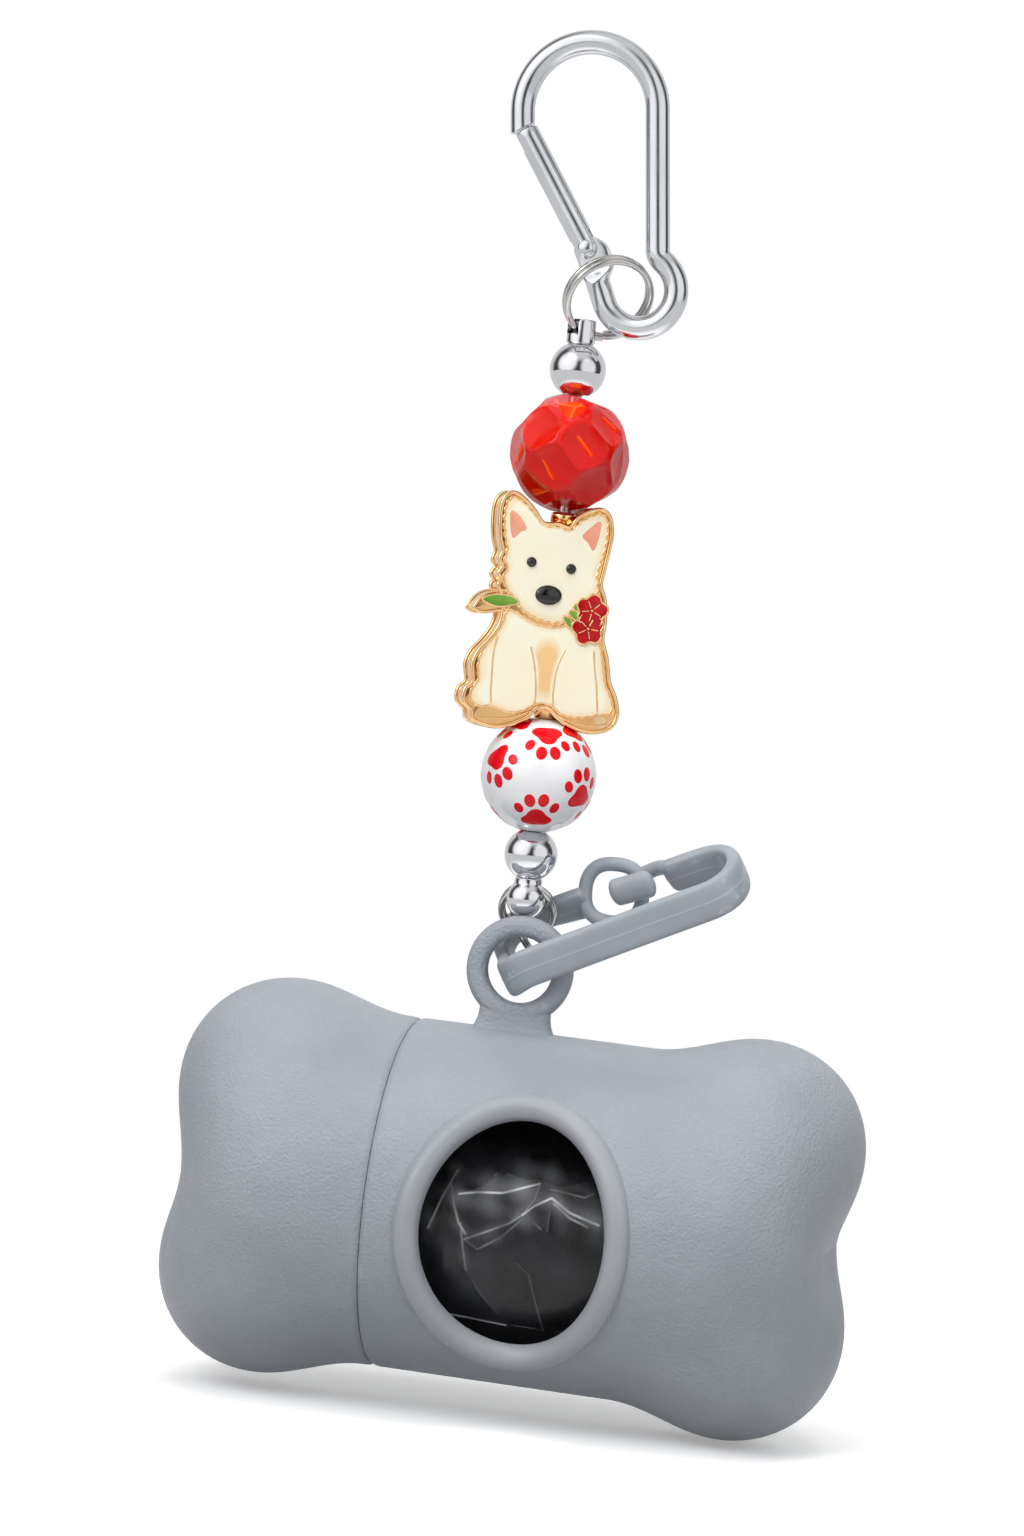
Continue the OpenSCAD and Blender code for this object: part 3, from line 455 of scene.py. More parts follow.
def finish_material(name, tone_a, tone_b, clean, rubbed, tone_scale=60.0, rub_scale=400.0,
                    grain=None, bump=0.0, **principled):
    """A surface whose colour drifts between two tones and whose gloss varies with handling.
    grain is (scale, swell) and bump its depth in metres. The rest are Principled values."""
    material = bpy.data.materials.new(name)
    material.use_nodes = True
    tree = material.node_tree
    look = {"Base_Color": use(tree, TONE_DRIFT, Tone_A=srgb(tone_a), Tone_B=srgb(tone_b), Scale=tone_scale),
            "Roughness": use(tree, RUBBED, Clean=clean, Rubbed=rubbed, Scale=rub_scale), **principled}
    if grain:
        height = use(tree, GRAIN, Scale=grain[0], Swell=grain[1])
        look["Normal"] = node(tree, "Bump", "Normal", {"Distance": bump, "Height": height})
    for label, value in look.items():
        link(tree, value, tree.nodes["Principled BSDF"].inputs[label.replace("_", " ")])
    return material


def tint(material, colour, mask):
    """Lays a colour over the material's own where the mask is 1."""
    tree = material.node_tree
    base = tree.nodes["Principled BSDF"].inputs["Base Color"]
    link(tree, blend(tree, mask, base.links[0].from_socket, srgb(colour)), base)


def worn_edges(material, colour):
    """Lightens the outer edges of a moulded or cast piece."""
    tint(material, colour, use(material.node_tree, EDGE_WEAR, Start=0.52, Full=0.6))


def rim_tint(material, colour, start, full):
    """Tints by the piece's own rim attribute, from none at start to all at full."""
    tree = material.node_tree
    tint(material, colour, ranged(tree, node(tree, "Attribute", "Fac", attribute_name="rim"), start, full))


carabiner_metal = finish_material("carabiner_metal", (224, 226, 229), (208, 211, 215), 0.09, 0.24,
                                  rub_scale=700.0, grain=(2600.0, 0.4), bump=0.000004, Metallic=1.0)
ring_metal = finish_material("ring_metal", (206, 205, 203), (186, 183, 180), 0.07, 0.2, 300.0, Metallic=1.0)
ball_chrome = finish_material("ball_chrome", (226, 226, 229), (218, 219, 223), 0.02, 0.07, 150.0,
                              Metallic=1.0)
gold = finish_material("gold", (252, 208, 146), (244, 188, 122), 0.05, 0.16, 300.0, 900.0, Metallic=1.0)
shell_grey = finish_material("shell_grey", (164, 170, 177), (149, 156, 163), 0.44, 0.56, 45.0,
                             grain=(2400.0, 0.5), bump=0.0002)
rim_grey = finish_material("rim_grey", (163, 167, 172), (155, 160, 166), 0.34, 0.46, 80.0,
                           grain=(2200.0, 0.3), bump=0.00001)
strap_grey = finish_material("strap_grey", (164, 171, 179), (155, 163, 171), 0.36, 0.5, 110.0,
                             grain=(1700.0, 0.4), bump=0.000015)
inner_grey = finish_material("inner_grey", (120, 128, 135), (110, 118, 125), 0.5, 0.65)
film_black = finish_material("film_black", (44, 45, 48), (18, 19, 20), 0.18, 0.34, 150.0, 200.0,
                             Specular_IOR_Level=0.28)
roll_black = finish_material("roll_black", (24, 24, 26), (14, 14, 16), 0.4, 0.6)
card_brown = finish_material("card_brown", (176, 140, 100), (158, 122, 84), 0.7, 0.85,
                             grain=(1800.0, 0.8), bump=0.00004)
bead_white = finish_material("bead_white", (250, 250, 251), (243, 243, 246), 0.07, 0.14, 90.0,
                             Coat_Weight=0.6)
paw_red = finish_material("paw_red", (236, 8, 28), (224, 2, 22), 0.1, 0.2, 400.0, Specular_IOR_Level=0.25)
fur_cream = finish_material("fur_cream", (255, 250, 226), (255, 245, 214), 0.12, 0.2, 160.0, Coat_Weight=0.5)
chest_peach = finish_material("chest_peach", (252, 212, 148), (250, 200, 130), 0.12, 0.2, 160.0,
                              Coat_Weight=0.5)
ear_pink = finish_material("ear_pink", (248, 172, 140), (244, 158, 124), 0.14, 0.24, 300.0, Coat_Weight=0.5)
eye_black = finish_material("eye_black", (8, 8, 8), (16, 15, 15), 0.05, 0.12, Coat_Weight=0.35)
leaf_green = finish_material("leaf_green", (122, 172, 40), (92, 146, 24), 0.12, 0.24, 500.0, Coat_Weight=0.5)
flower_red = finish_material("flower_red", (206, 2, 10), (156, 0, 4), 0.1, 0.2, 500.0,
                             Specular_IOR_Level=0.3)
red_clear = finish_material("red_clear", (242, 14, 10), (226, 4, 8), 0.04, 0.09, 120.0, Alpha=0.66,
                            Specular_IOR_Level=0.45)
# Painted glow: the orange of light seen inside the clear bead, for its cut heart.
red_glow_heart = finish_material("red_glow_heart", (255, 110, 8), (255, 40, 0), 0.2, 0.3, 110.0,
                            Specular_IOR_Level=0.1)
worn_edges(gold, (252, 226, 186))
worn_edges(shell_grey, (172, 180, 187))
worn_edges(strap_grey, (178, 185, 192))
# Painted highlight: a lighter tint along the strap's parting-line ridge.
rim_tint(strap_grey, (196, 202, 208), 0.5, 1.0)
# Painted glints: light grey along the film's folds and free edge, with a painted sheen beside the folds.
rim_tint(film_black, (222, 224, 227), 0.02, 1.0)
rim_tint(fur_cream, (250, 214, 154), 0.86, 1.04)
rim_tint(chest_peach, (255, 247, 220), 0.6, 1.0)
# Painted shade on the heart's darker facets, and painted highlights along its facet edges.
rim_tint(red_glow_heart, (226, 4, 2), 0.5, 0.0)
rim_tint(red_glow_heart, (255, 170, 110), 0.9, 1.02)


# ---- camera: fitted to the beads, the eye and the bone of the photograph ----
LENS, AZIMUTH, ELEVATION, ROLL, DISTANCE = 120.0, 10.5, 1.5, 5.515, 675.0
AIM = np.array([CHAIN_X, 0.0, -94.0])
AIM_SHIFT = (-3.59, -0.397)


def stand(obj, side, up, back, place):
    """Links a camera or lamp at a place in millimetres, looking against back."""
    whole = np.eye(4)
    whole[:3, :3], whole[:3, 3] = np.stack([side, up, back], -1), place * MM
    obj.matrix_world = Matrix(whole.tolist())
    bpy.context.scene.collection.objects.link(obj)


def make_camera():
    """Camera on a line from the aim point, turned about that line by the photograph's tilt."""
    a, e, r = (math.radians(v) for v in (AZIMUTH, ELEVATION, ROLL))
    away = np.array([math.sin(a) * math.cos(e), -math.cos(a) * math.cos(e), math.sin(e)])
    level = np.array([math.cos(a), math.sin(a), 0.0])
    rise = np.cross(away, level)
    camera = bpy.data.objects.new("camera", bpy.data.cameras.new("camera"))
    camera.data.lens, camera.data.sensor_width = LENS, 36.0
    camera.data.clip_start, camera.data.clip_end = 0.05, 20.0
    stand(camera, math.cos(r) * level + math.sin(r) * rise, -math.sin(r) * level + math.cos(r) * rise, away,
          AIM + AIM_SHIFT[0] * level + AIM_SHIFT[1] * rise + DISTANCE * away)
    bpy.context.scene.camera = camera


make_camera()


# ---- stage: pale floor that rises into a white backdrop, soft lamps ----
FLOOR_Z = -179.2
AMBIENT = 0.38
FLOOR_FRONT, FLOOR_BACK, FLOOR_SIDE, SWEEP_R, WALL_H = 1500.0, 420.0, 1500.0, 500.0, 1700.0
NEAR_FLOOR, FAR_FLOOR = 0.07, 0.17


def stage_material():
    """White to the camera and in reflections, and a plain lit floor round the object's foot, where
    its shadow shows: its share falls from 1 at NEAR_FLOOR to 0 at FAR_FLOOR. To all other light it
    is a plain grey floor."""
    material = bpy.data.materials.new("stage_white")
    material.use_nodes = True
    tree = material.node_tree
    tree.nodes.clear()
    path = tree.nodes.new("ShaderNodeLightPath").outputs
    mirrored = path["Is Glossy Ray"]
    from_foot = node(tree, "Mapping", 0, {"Vector": node(tree, "TexCoord", "Object"),
                                          "Location": (-0.004, 0.0, -FLOOR_Z * MM)})
    reach = node(tree, "VectorMath", "Value", (from_foot,), operation="LENGTH")
    lit = node(tree, "BsdfDiffuse", 0, {"Color": (0.93, 0.93, 0.93, 1)})
    near_floor = node(tree, "AddShader", 0, (lit, node(tree, "Emission", 0, {"Strength": 0.3})))
    white = node(tree, "Emission", 0, {"Strength": reckon(tree, "MULTIPLY_ADD", mirrored, -0.25, 1.0)})
    near = ranged(tree, reach, NEAR_FLOOR, FAR_FLOOR, 1.0, 0.0)
    shown = node(tree, "MixShader", 0, (near, white, near_floor))
    seen = reckon(tree, "MAXIMUM", path["Is Camera Ray"],
                  reckon(tree, "MAXIMUM", mirrored, path["Is Transmission Ray"]))
    plain = node(tree, "BsdfDiffuse", 0, {"Color": (0.42, 0.42, 0.43, 1)})
    leave = tree.nodes.new("ShaderNodeOutputMaterial")
    link(tree, node(tree, "MixShader", 0, (seen, plain, shown)), leave.inputs["Surface"])
    return material


def make_floor():
    """Level from the front to the back edge, then a quarter round up into a wall."""
    a = np.radians(np.linspace(0, 90, 16))
    y = np.concatenate([[-FLOOR_FRONT], FLOOR_BACK + SWEEP_R * np.sin(a), [FLOOR_BACK + SWEEP_R]])
    z = FLOOR_Z + np.concatenate([[0], SWEEP_R * (1 - np.cos(a)), [WALL_H]])
    x = np.array([-FLOOR_SIDE, FLOOR_SIDE])
    points = np.stack([np.broadcast_to(x, (len(y), 2)), np.repeat(y[:, None], 2, 1),
                       np.repeat(z[:, None], 2, 1)], -1)
    mesh = bpy.data.meshes.new("stage_floor")
    mesh.from_pydata((points.reshape(-1, 3) * MM).tolist(), [],
                     grid_faces(len(y), 2, False, False).tolist())
    mesh.shade_smooth()
    floor = bpy.data.objects.new("stage_floor", mesh)
    bpy.context.scene.collection.objects.link(floor)
    mesh.materials.append(stage_material())


def lamp(name, place, power, wide, tall):
    """Rectangular soft lamp that looks at the middle of the object; mirrors don't see it."""
    data = bpy.data.lights.new(name, "AREA")
    data.energy, data.shape = power, "RECTANGLE"
    data.size, data.size_y = wide * MM, tall * MM
    obj = bpy.data.objects.new(name, data)
    obj.visible_glossy = False
    back = unit(np.array(place) - AIM)
    side = unit(np.cross([0, 0, 1], back))
    stand(obj, side, np.cross(back, side), back, np.array(place))


# Soft lit patches that mirrors see: direction, cosines where each starts and is full, strength.
ROOM_DIM = 0.07
GLOWS = (((-0.6, -0.7, 0.4), 0.66, 0.9, 1.15), ((-0.62, -0.66, 0.42), 0.965, 0.992, 4.0),
         ((0.8, -0.56, 0.2), 0.76, 0.93, 0.95), ((0.1, -0.25, 1.0), 0.66, 0.95, 0.7),
         ((-0.1, 1.0, 0.1), 0.25, 0.8, 0.7))


def make_world():
    """A pale room. Mirrors see the soft lit patches in a dimmer room, each a smooth step over the
    cosine of the angle to its direction, and the camera sees white."""
    world = bpy.data.worlds.new("room")
    bpy.context.scene.world = world
    world.use_nodes = True
    tree = world.node_tree
    tree.nodes.clear()
    path = tree.nodes.new("ShaderNodeLightPath").outputs
    direction = node(tree, "TexCoord", "Generated")
    total = ROOM_DIM
    for toward, start, full, strength in GLOWS:
        cosine = node(tree, "VectorMath", "Value", (direction, tuple(unit(toward))), operation="DOT_PRODUCT")
        glow = ranged(tree, cosine, start, full, 0.0, strength, interpolation_type="SMOOTHSTEP")
        total = reckon(tree, "ADD", glow, total)
    room, mirrored, white = (node(tree, "Background", 0, {"Color": (1, 1, 1, 1), "Strength": strength})
                             for strength in (AMBIENT, total, 1.0))
    around = node(tree, "MixShader", 0, (path["Is Glossy Ray"], room, mirrored))
    direct = reckon(tree, "MAXIMUM", path["Is Camera Ray"], path["Is Transmission Ray"])
    leave = tree.nodes.new("ShaderNodeOutputWorld")
    link(tree, node(tree, "MixShader", 0, (direct, around, white)), leave.inputs["Surface"])


make_floor()
make_world()
lamp("key_lamp", (-200, -520, 330), 2.35, 330, 420)
lamp("fill_lamp", (420, -420, 120), 0.7, 260, 420)
lamp("top_lamp", (20, -120, 440), 1.7, 380, 380)
lamp("back_lamp", (120, 560, 200), 1.2, 330, 330)
bpy.context.scene.view_settings.view_transform = "Standard"


# ---- carabiner ----
def carabiner_path():
    """Nose, top bend, long side, neck, hook and tail: points, outward directions, and how far
    each point has gone into the flattened tail, in millimetres from its start."""
    nose = np.array([[NOSE_C[0], 0, z] for z in (-1.6, -1.0, -0.4)])
    bend, bend_out = arc_xz(np.zeros(3), TOP_BEND_R, 180, 0, 72)
    side = mix(np.array([TOP_BEND_R, 0, 0.0]), np.array([TOP_BEND_R, 0, NECK_C[2]]),
               np.linspace(0, 1, 14)[1:-1, None])
    neck, neck_in = arc_xz(NECK_C, NECK_R, 180, 180 + NECK_TURN, 16)
    hook, hook_out = arc_xz(HOOK_C, HOOK_R, NECK_TURN, HOOK_END - 360, 80)
    run = np.linspace(0.3, TAIL_LEN + PLATE_END, 44)
    tail = TAIL_FOOT + TAIL_DIR * run[:, None]
    path = np.concatenate([nose, bend, side, neck, hook[1:], tail])
    out = np.concatenate([np.repeat([[-1.0, 0, 0]], 3, 0), bend_out, np.repeat([[1.0, 0, 0]], len(side), 0),
                          -neck_in, hook_out[1:], np.repeat(HOOK_OUT[None], len(tail), 0)])
    return path, out, np.concatenate([np.full(len(path) - len(tail), -1.0), run])


NOSE_GAP, NOSE_FADE, NOSE_PULL = 0.36, 2.5, 1.15
PLATE_START, PLATE_FULL, PLATE_W, PLATE_SHIFT, PLATE_END, PLATE_ROUND = 2.6, 4.6, 2.25, 0.55, 1.64, 0.9


def slant_nose(points):
    """Stretches the bar's open end by up to NOSE_PULL down to a plane just above the gate's end
    and parallel to it; the stretch fades out over NOSE_FADE of the bar."""
    lean = math.radians(GATE_LEAN)
    top = RIVET_C + GATE_LEN * np.array([-math.sin(lean), 0, math.cos(lean)])
    x, z = points[:, 0], points[:, 2]
    plane = top[2] + math.tan(lean) * (x - top[0]) + NOSE_GAP
    near = np.clip((z - NOSE_C[2]) / NOSE_FADE, 0, 1)
    mine = (x < NOSE_C[0] + 2.4) & (z > NOSE_C[2] - 0.01) & (z < NOSE_C[2] + NOSE_FADE)
    lower = z + np.maximum(plane - NOSE_C[2], -NOSE_PULL) * (1 - near)
    return np.stack([x, points[:, 1], np.where(mine, lower, z)], -1)


def carabiner_frame():
    """Round bar whose tail is pressed into a flat plate for the rivet: the section is a
    superellipse that goes from round to wide and thin, and narrows to a round top end."""
    path, out, gone = carabiner_path()
    flat = ease((gone - PLATE_START) / (PLATE_FULL - PLATE_START))
    top = np.clip((gone - TAIL_LEN + PLATE_ROUND) / (PLATE_END + PLATE_ROUND), 0, 1)
    width = mix(BAR_R, PLATE_W, flat) * np.sqrt(1 - top ** 2 * 0.995)
    thick = mix(BAR_R, TONGUE_T / 2, flat) * np.sqrt(1 - top ** 10 * 0.9)
    power = mix(2.0, 6.0, flat)
    c = circle(40)
    reach = (np.abs(c)[None] ** power[:, None, None]).sum(-1) ** (-1 / power[:, None])
    section = c[None] * reach[..., None] * np.stack([width, thick], -1)[:, None]
    section[..., 0] -= (PLATE_SHIFT * flat * (1 - top))[:, None]
    bar = swept(path, out, (0, 1, 0), section)
    bar = moved(moved(bar, slant_nose), in_carabiner)
    tongue = squircle(32, TONGUE_T / 2, 1.0, 5)
    z = np.array([-2.6, -2.55, -2.4, 0.0, 0.6])
    grow = np.array([0.8, 0.93, 1.0, 1.0, 1.0])
    points = np.stack([tongue[None, :, 1] * grow[:, None], tongue[None, :, 0] * grow[:, None],
                       np.repeat(z[:, None], 32, 1)], -1)
    nose = patch(points @ turn(y=-GATE_LEAN).T + NOSE_C)
    piece("carabiner_bar", [bar, moved(nose, in_carabiner)], carabiner_metal, "carabiner",
          ["carabiner_frame"])


def box_patch(low, high):
    """A cutter's plain block between two corners."""
    low, high = np.array(low, float), np.array(high, float)
    ring = np.array([[0, 0], [1, 0], [1, 1], [0, 1]])
    points = np.stack([np.concatenate([ring, np.full((4, 1), k)], -1) for k in (0, 1)])
    return patch(low + points * (high - low))


def carabiner_gate():
    """Tube with a foot rounded as a ball, a groove along its outer side, a fork over the tail's
    plate and a slot for the nose's tongue. It is turned, then bored and cut."""
    r = GATE_R
    a = np.radians(np.linspace(-88, 0, 16))
    foot = np.stack([r * np.cos(a), r * np.sin(a)], -1)
    z = np.linspace(0.4, GATE_LEN - 0.25, 24)
    lip = np.array([[r - 0.05, GATE_LEN - 0.1], [r - 0.2, GATE_LEN], [0.8, GATE_LEN]])
    tube = turned(np.concatenate([foot, np.stack([np.full(24, r), z], -1), lip]), 64)
    obj = piece("carabiner_gate_tube", [moved(tube, in_gate)], carabiner_metal)
    bore_top = GATE_LEN - 4.2
    bore = turned([[0.3, 1.7], [r - GATE_WALL, 1.7], [r - GATE_WALL, bore_top], [0.3, bore_top]], 48)
    slot = TONGUE_T / 2 + GATE_SLOT_GAP
    cuts = [bore, box_patch([-3, -slot, GATE_LEN - 2.6], [1.1, slot, GATE_LEN + 1]),
            box_patch([-3, -slot, -3], [3, slot, 1.75]),
            box_patch([-3, -0.42, 1.0], [-0.6, 0.42, GATE_LEN + 1]),
            box_patch([0.7, -slot, -3], [3, slot, 2.4])]
    carve(obj, [moved(c, in_gate) for c in cuts], 0.08)
    dress(obj, "gate", ["carabiner_gate"])


def gate_rivet():
    """Pin with two domed heads, each a flattened cap of a ball."""
    a = np.radians(np.linspace(0, 90, 12))
    half = 1.5
    dome = np.stack([1.08 * np.cos(a), half + 0.5 * np.sin(a)], -1)
    dome[-1, 0] = 0.02
    shaft = np.array([[0.55, -half], [0.55, half], [1.0, half + 0.02]])
    top = np.concatenate([shaft[1:], dome])
    profile = np.concatenate([(top * [1, -1])[::-1], top])
    rivet = moved(turned(profile, 48), lambda p: in_carabiner(p @ turn(x=90).T + RIVET_C))
    piece("rivet_pin", [rivet], carabiner_metal, "carabiner", ["gate_rivet"])


def gate_spring():
    """Coil of seven turns inside the tube, whose angle and height rise evenly, over its plunger
    pin."""
    t = np.linspace(0, 1, SPRING_TURNS * 24)
    a = 2 * np.pi * SPRING_TURNS * t
    helix = np.stack([SPRING_R * np.cos(a), SPRING_R * np.sin(a), mix(SPRING_LOW, GATE_LEN - 4.4, t)], -1)
    pin = turned([[0.02, 1.75], [0.9, 1.75], [1.0, 1.85], [1.0, 3.2], [0.9, 3.3], [0.02, 3.3]], 32)
    piece("spring_coil", [moved(beaded_tube(helix, SPRING_WIRE_R, 8), in_gate)], ring_metal, "gate",
          ["gate_spring"])
    piece("plunger_pin", [moved(pin, in_gate)], ring_metal, "gate", ["gate_plunger"])


# ---- rings ----
def two_turn_ring(r, wire):
    """Two turns of wire lying on each other: the height steps up over STEP_TURN half way."""
    a = np.linspace(0, 720 - RING_MOUTH, 260)
    height = (wire + 0.04) * (ease((a - 360 + STEP_TURN / 2) / STEP_TURN) - 0.5)
    out = np.stack([np.cos(np.radians(a)), np.sin(np.radians(a)), 0 * a], -1)
    return swept(r * out + height[:, None] * [0, 0, 1.0], out, (0, 0, 1), circle(16, wire / 2))


def hoop(n):
    """Unit directions round a closed ring in the XY plane."""
    return np.concatenate([circle(n), np.zeros((n, 1))], -1)


def in_top_ring(p):
    """From the top split ring's middle, with its axis along Z; the bail bears on its wire."""
    p = p @ turn(z=150).T + [RING_R, 0, 0]
    return p @ turn(z=-157.5).T @ turn(0, 59.3, 123.1).T + SLOT_P


def rings():
    """The split ring on the carabiner, the small one on the rod's foot, and the ring behind
    the bone's eye."""
    piece("top_ring_wire", [moved(two_turn_ring(RING_R, RING_WIRE), in_top_ring)], ring_metal, "top_ring",
          ["top_split_ring"])
    small = moved(two_turn_ring(SMALL_R, SMALL_WIRE), lambda p: in_small_ring(p @ turn(z=120).T))
    piece("small_ring_wire", [small], ring_metal, "small_ring", ["small_split_ring"])
    loop = swept(JUMP_R * hoop(120), hoop(120), (0, 0, 1), circle(16, JUMP_WIRE / 2), closed=True)
    piece("jump_ring_wire", [moved(loop, lambda p: p @ turn(0, 57.5, -9.95).T + JUMP_C)],
          ring_metal, "jump_ring", ["jump_ring"])


# ---- bead string ----
def ball_profile(d, flat_r=SEAT_R, bore_r=1.0, rows=48):
    """Ball with flats of radius flat_r, small rounded lips and a bore, as radius and height."""
    r = d / 2
    edge = math.degrees(math.asin(flat_r / r))
    a = np.radians(np.linspace(90 - edge, edge - 90, rows))
    outer = np.stack([r * np.cos(a), r * np.sin(a)], -1)
    h = outer[0, 1]
    lip = np.array([[bore_r, h - 0.3], [bore_r + 0.08, h - 0.06], [bore_r + 0.2, h],
                    [flat_r - 0.12, h - 0.01]])
    return np.concatenate([lip, outer, (lip * [1, -1])[::-1]])


def ball(name, node, z, d, material, body):
    """A bored ball bead turned about the rod."""
    piece(name, [turned(ball_profile(d), 96, (CHAIN_X, 0, z), closed=True)], material, body, [node])


def middle_z(node):
    """Height of a node's middle, in millimetres."""
    low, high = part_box(node)
    return (low[2] + high[2]) / 2 / MM


def bail_and_rod():
    """Slotted head with a rounded crown, the rod, its neck, and the foot ball with the ring's
    curved channel across it."""
    r, z0, z1 = BAIL_D / 2, BAIL_FOOT_Z, BAIL_FOOT_Z + BAIL_H
    head = turned([[0.9, z0 + 0.3], [0.98, z0], [r - 0.25, z0], [r, z0 + 0.25], [r, z1 - 0.3],
                   [r - 0.1, z1 - 0.08], [r - 0.3, z1], [0.05, z1]], 64, (CHAIN_X, 0, 0))
    obj = piece("bail_cap", [head], ball_chrome)
    slot = box_patch([-7, -1.28, -1.08], [7, 1.28, 1.08])
    carve(obj, [moved(slot, lambda p: p @ turn(0, 19.2, 45.1).T + SLOT_P)], 0.12)
    dress(obj, "bar", ["bail_head"])

    neck_r, ball_r = FOOT_BALL_D * 0.34, FOOT_BALL_D / 2
    a = np.radians(np.linspace(46, -89, 40))
    foot = np.stack([ball_r * np.cos(a), FOOT_BALL_Z + ball_r * np.sin(a)], -1)
    top = BAIL_FOOT_Z + 0.4
    collar = [[0.3, top], [ROD_D / 2, top - 0.2], [ROD_D / 2, FOOT_TOP_Z], [neck_r - 0.15, FOOT_TOP_Z],
              [neck_r, FOOT_TOP_Z - 0.15], [neck_r, FOOT_TOP_Z - FOOT_NECK / 2]]
    rod = piece("rod_and_foot", [turned(np.concatenate([collar, foot]), 72, (CHAIN_X, 0, 0))], ball_chrome)
    channel = np.array([[-1, -1], [1, -1], [1, 1], [-1, 1]]) * [0.725, 1.225]
    ring = swept(SMALL_R * hoop(96), hoop(96), (0, 0, 1), channel, closed=True)
    carve(rod, [moved(ring, in_small_ring)], 0.1)
    dress(rod, "bar", ["bead_rod"])


def facet_axes(count):
    """Directions spread over a ball by the golden angle."""
    k = np.arange(count)
    h = 1 - 2 * (k + 0.5) / count
    a = np.radians(137.508 * k)
    return np.stack([np.sqrt(1 - h * h) * np.cos(a), np.sqrt(1 - h * h) * np.sin(a), h], -1)


def facet_corners(axes, reach):
    """Corners of the solid that the planes at reach along each axis cut off. Each three planes
    meet in a point, which is kept where no other plane cuts it away."""
    n = len(axes)
    i, j, k = (v.ravel() for v in np.meshgrid(*[np.arange(n)] * 3, indexing="ij"))
    keep = (i < j) & (j < k)
    trio = np.stack([i[keep], j[keep], k[keep]], -1)
    planes = axes[trio]
    good = np.abs(np.linalg.det(planes)) > 1e-4
    trio, planes = trio[good], planes[good]
    points = np.linalg.solve(planes, np.full((len(planes), 3, 1), reach))[..., 0]
    inside = (points @ axes.T <= reach + 1e-6).all(1)
    return points[inside], trio[inside]


def cut_ball(count, reach, round_r, hollow, steps=7, rows=12):
    """Faceted bead: each facet runs from its outline to its middle, dished by hollow there,
    and points further out than round_r are drawn in to it, which rounds the corners. The
    marks give each facet a painted shade of its own, and 1 along its outline for a painted
    highlight there."""
    axes = facet_axes(count)
    corners, trio = facet_corners(axes, reach)
    parts = []
    for k, axis in enumerate(axes):
        mine = corners[(trio == k).any(1)]
        u = unit(np.cross(axis, [0.3, 0.5, 0.8]))
        v = np.cross(axis, u)
        mine = mine[np.argsort(np.arctan2(mine @ v, mine @ u))]
        t = (np.arange(steps) / steps)[None, :, None]
        outline = (mine[:, None] * (1 - t) + np.roll(mine, -1, 0)[:, None] * t).reshape(-1, 3)
        share = np.linspace(1, 0.04, rows)[:, None, None]
        middle = axis * reach
        points = middle + (outline[None] - middle) * share - axis * hollow * (1 - share ** 2)
        far = np.linalg.norm(points, axis=-1, keepdims=True)
        points = points * np.minimum(1, round_r / far)
        quads = grid_faces(rows, points.shape[1], False, True)
        j = np.arange(points.shape[1])
        start = (rows - 1) * len(j)
        tris = np.stack([start + j, start + (j + 1) % len(j), np.full(len(j), rows * len(j))], -1)
        flat = np.concatenate([points.reshape(-1, 3), [middle - axis * hollow]])
        # Each facet's painted shade, and 1 on its outline for a painted highlight.
        painted_light = np.full((rows, points.shape[1]), 0.6 * (k * 0.618 % 1))
        painted_light[0] = 1.0
        parts.append((flat, quads, tris, np.append(painted_light.ravel(), painted_light[-1, 0])))
    return parts


def merged(obj):
    """Joins the points that neighbouring patches share and turns all faces outwards."""
    work = bmesh.new()
    work.from_mesh(obj.data)
    bmesh.ops.remove_doubles(work, verts=work.verts, dist=2e-6)
    bmesh.ops.recalc_face_normals(work, faces=work.faces)
    work.to_mesh(obj.data)
    work.free()
    return obj


# Facets, how far they are from the middle, the radius that rounds the corners, and the hollow.
RED_CUT, HEART_CUT = (24, 7.36, 7.9, 0.36), (17, 6.6, 7.3, 0.1)
RED_END = 7.715


def red_bead():
    """Clear red bead with hollow facets and a flat at each end, round a cut orange heart that paints the
    glow of light inside the clear bead.
    """
    place, end = np.array([CHAIN_X, 0, middle_z("red_bead")]), RED_END
    shell = [shifted(p, place) for p in cut_ball(*RED_CUT)]
    obj = merged(piece("red_bead_shell", shell, red_clear))
    ends = box_patch([-9, -9, end], [9, 9, 12]), box_patch([-9, -9, -12], [9, 9, -end])
    carve(obj, [shifted(p, place) for p in ends], sharp=16)
    dress(obj, "red_bead", ["red_bead"])
    # The heart's orange stands in for light glowing inside the bead: a painted glow.
    heart = [moved(p, lambda q: q @ turn(20, 10, 35).T * [1, 1, 1.02] + place)
             for p in cut_ball(*HEART_CUT)]
    core = merged(piece("red_bead_heart", heart, red_glow_heart))
    smooth(core, 12)
    dress(core, "red_bead")


WHITE_R = 7.6
PAWS = ((18, 43, 183), (-38, 11, 215), (12, -43, 5), (62, -13, 8), (-50, 60, 130), (75, 50, 200),
        (-85, -48, 60), (108, -42, 20), (-100, 5, 170), (130, 20, 300), (165, -20, 40), (-150, 25, 120),
        (-165, -40, 250), (175, 60, 10), (-120, -75, 0))


def on_ball(lon, lat, spin, uv):
    """Flat points uv, in ball radii, laid on the ball round (lon, lat), with up turned by spin."""
    lon, lat, spin = (math.radians(v) for v in (lon, lat, spin))
    mid = np.array([math.cos(lat) * math.sin(lon), -math.cos(lat) * math.cos(lon), math.sin(lat)])
    right = np.array([math.cos(lon), math.sin(lon), 0.0])
    up = np.cross(mid, right)
    a = math.cos(spin) * right + math.sin(spin) * up
    b = -math.sin(spin) * right + math.cos(spin) * up
    angle = np.linalg.norm(uv, axis=-1, keepdims=True) + 1e-9
    flat = (uv[..., :1] * a + uv[..., 1:] * b) / angle
    return mid * np.cos(angle) + flat * np.sin(angle)


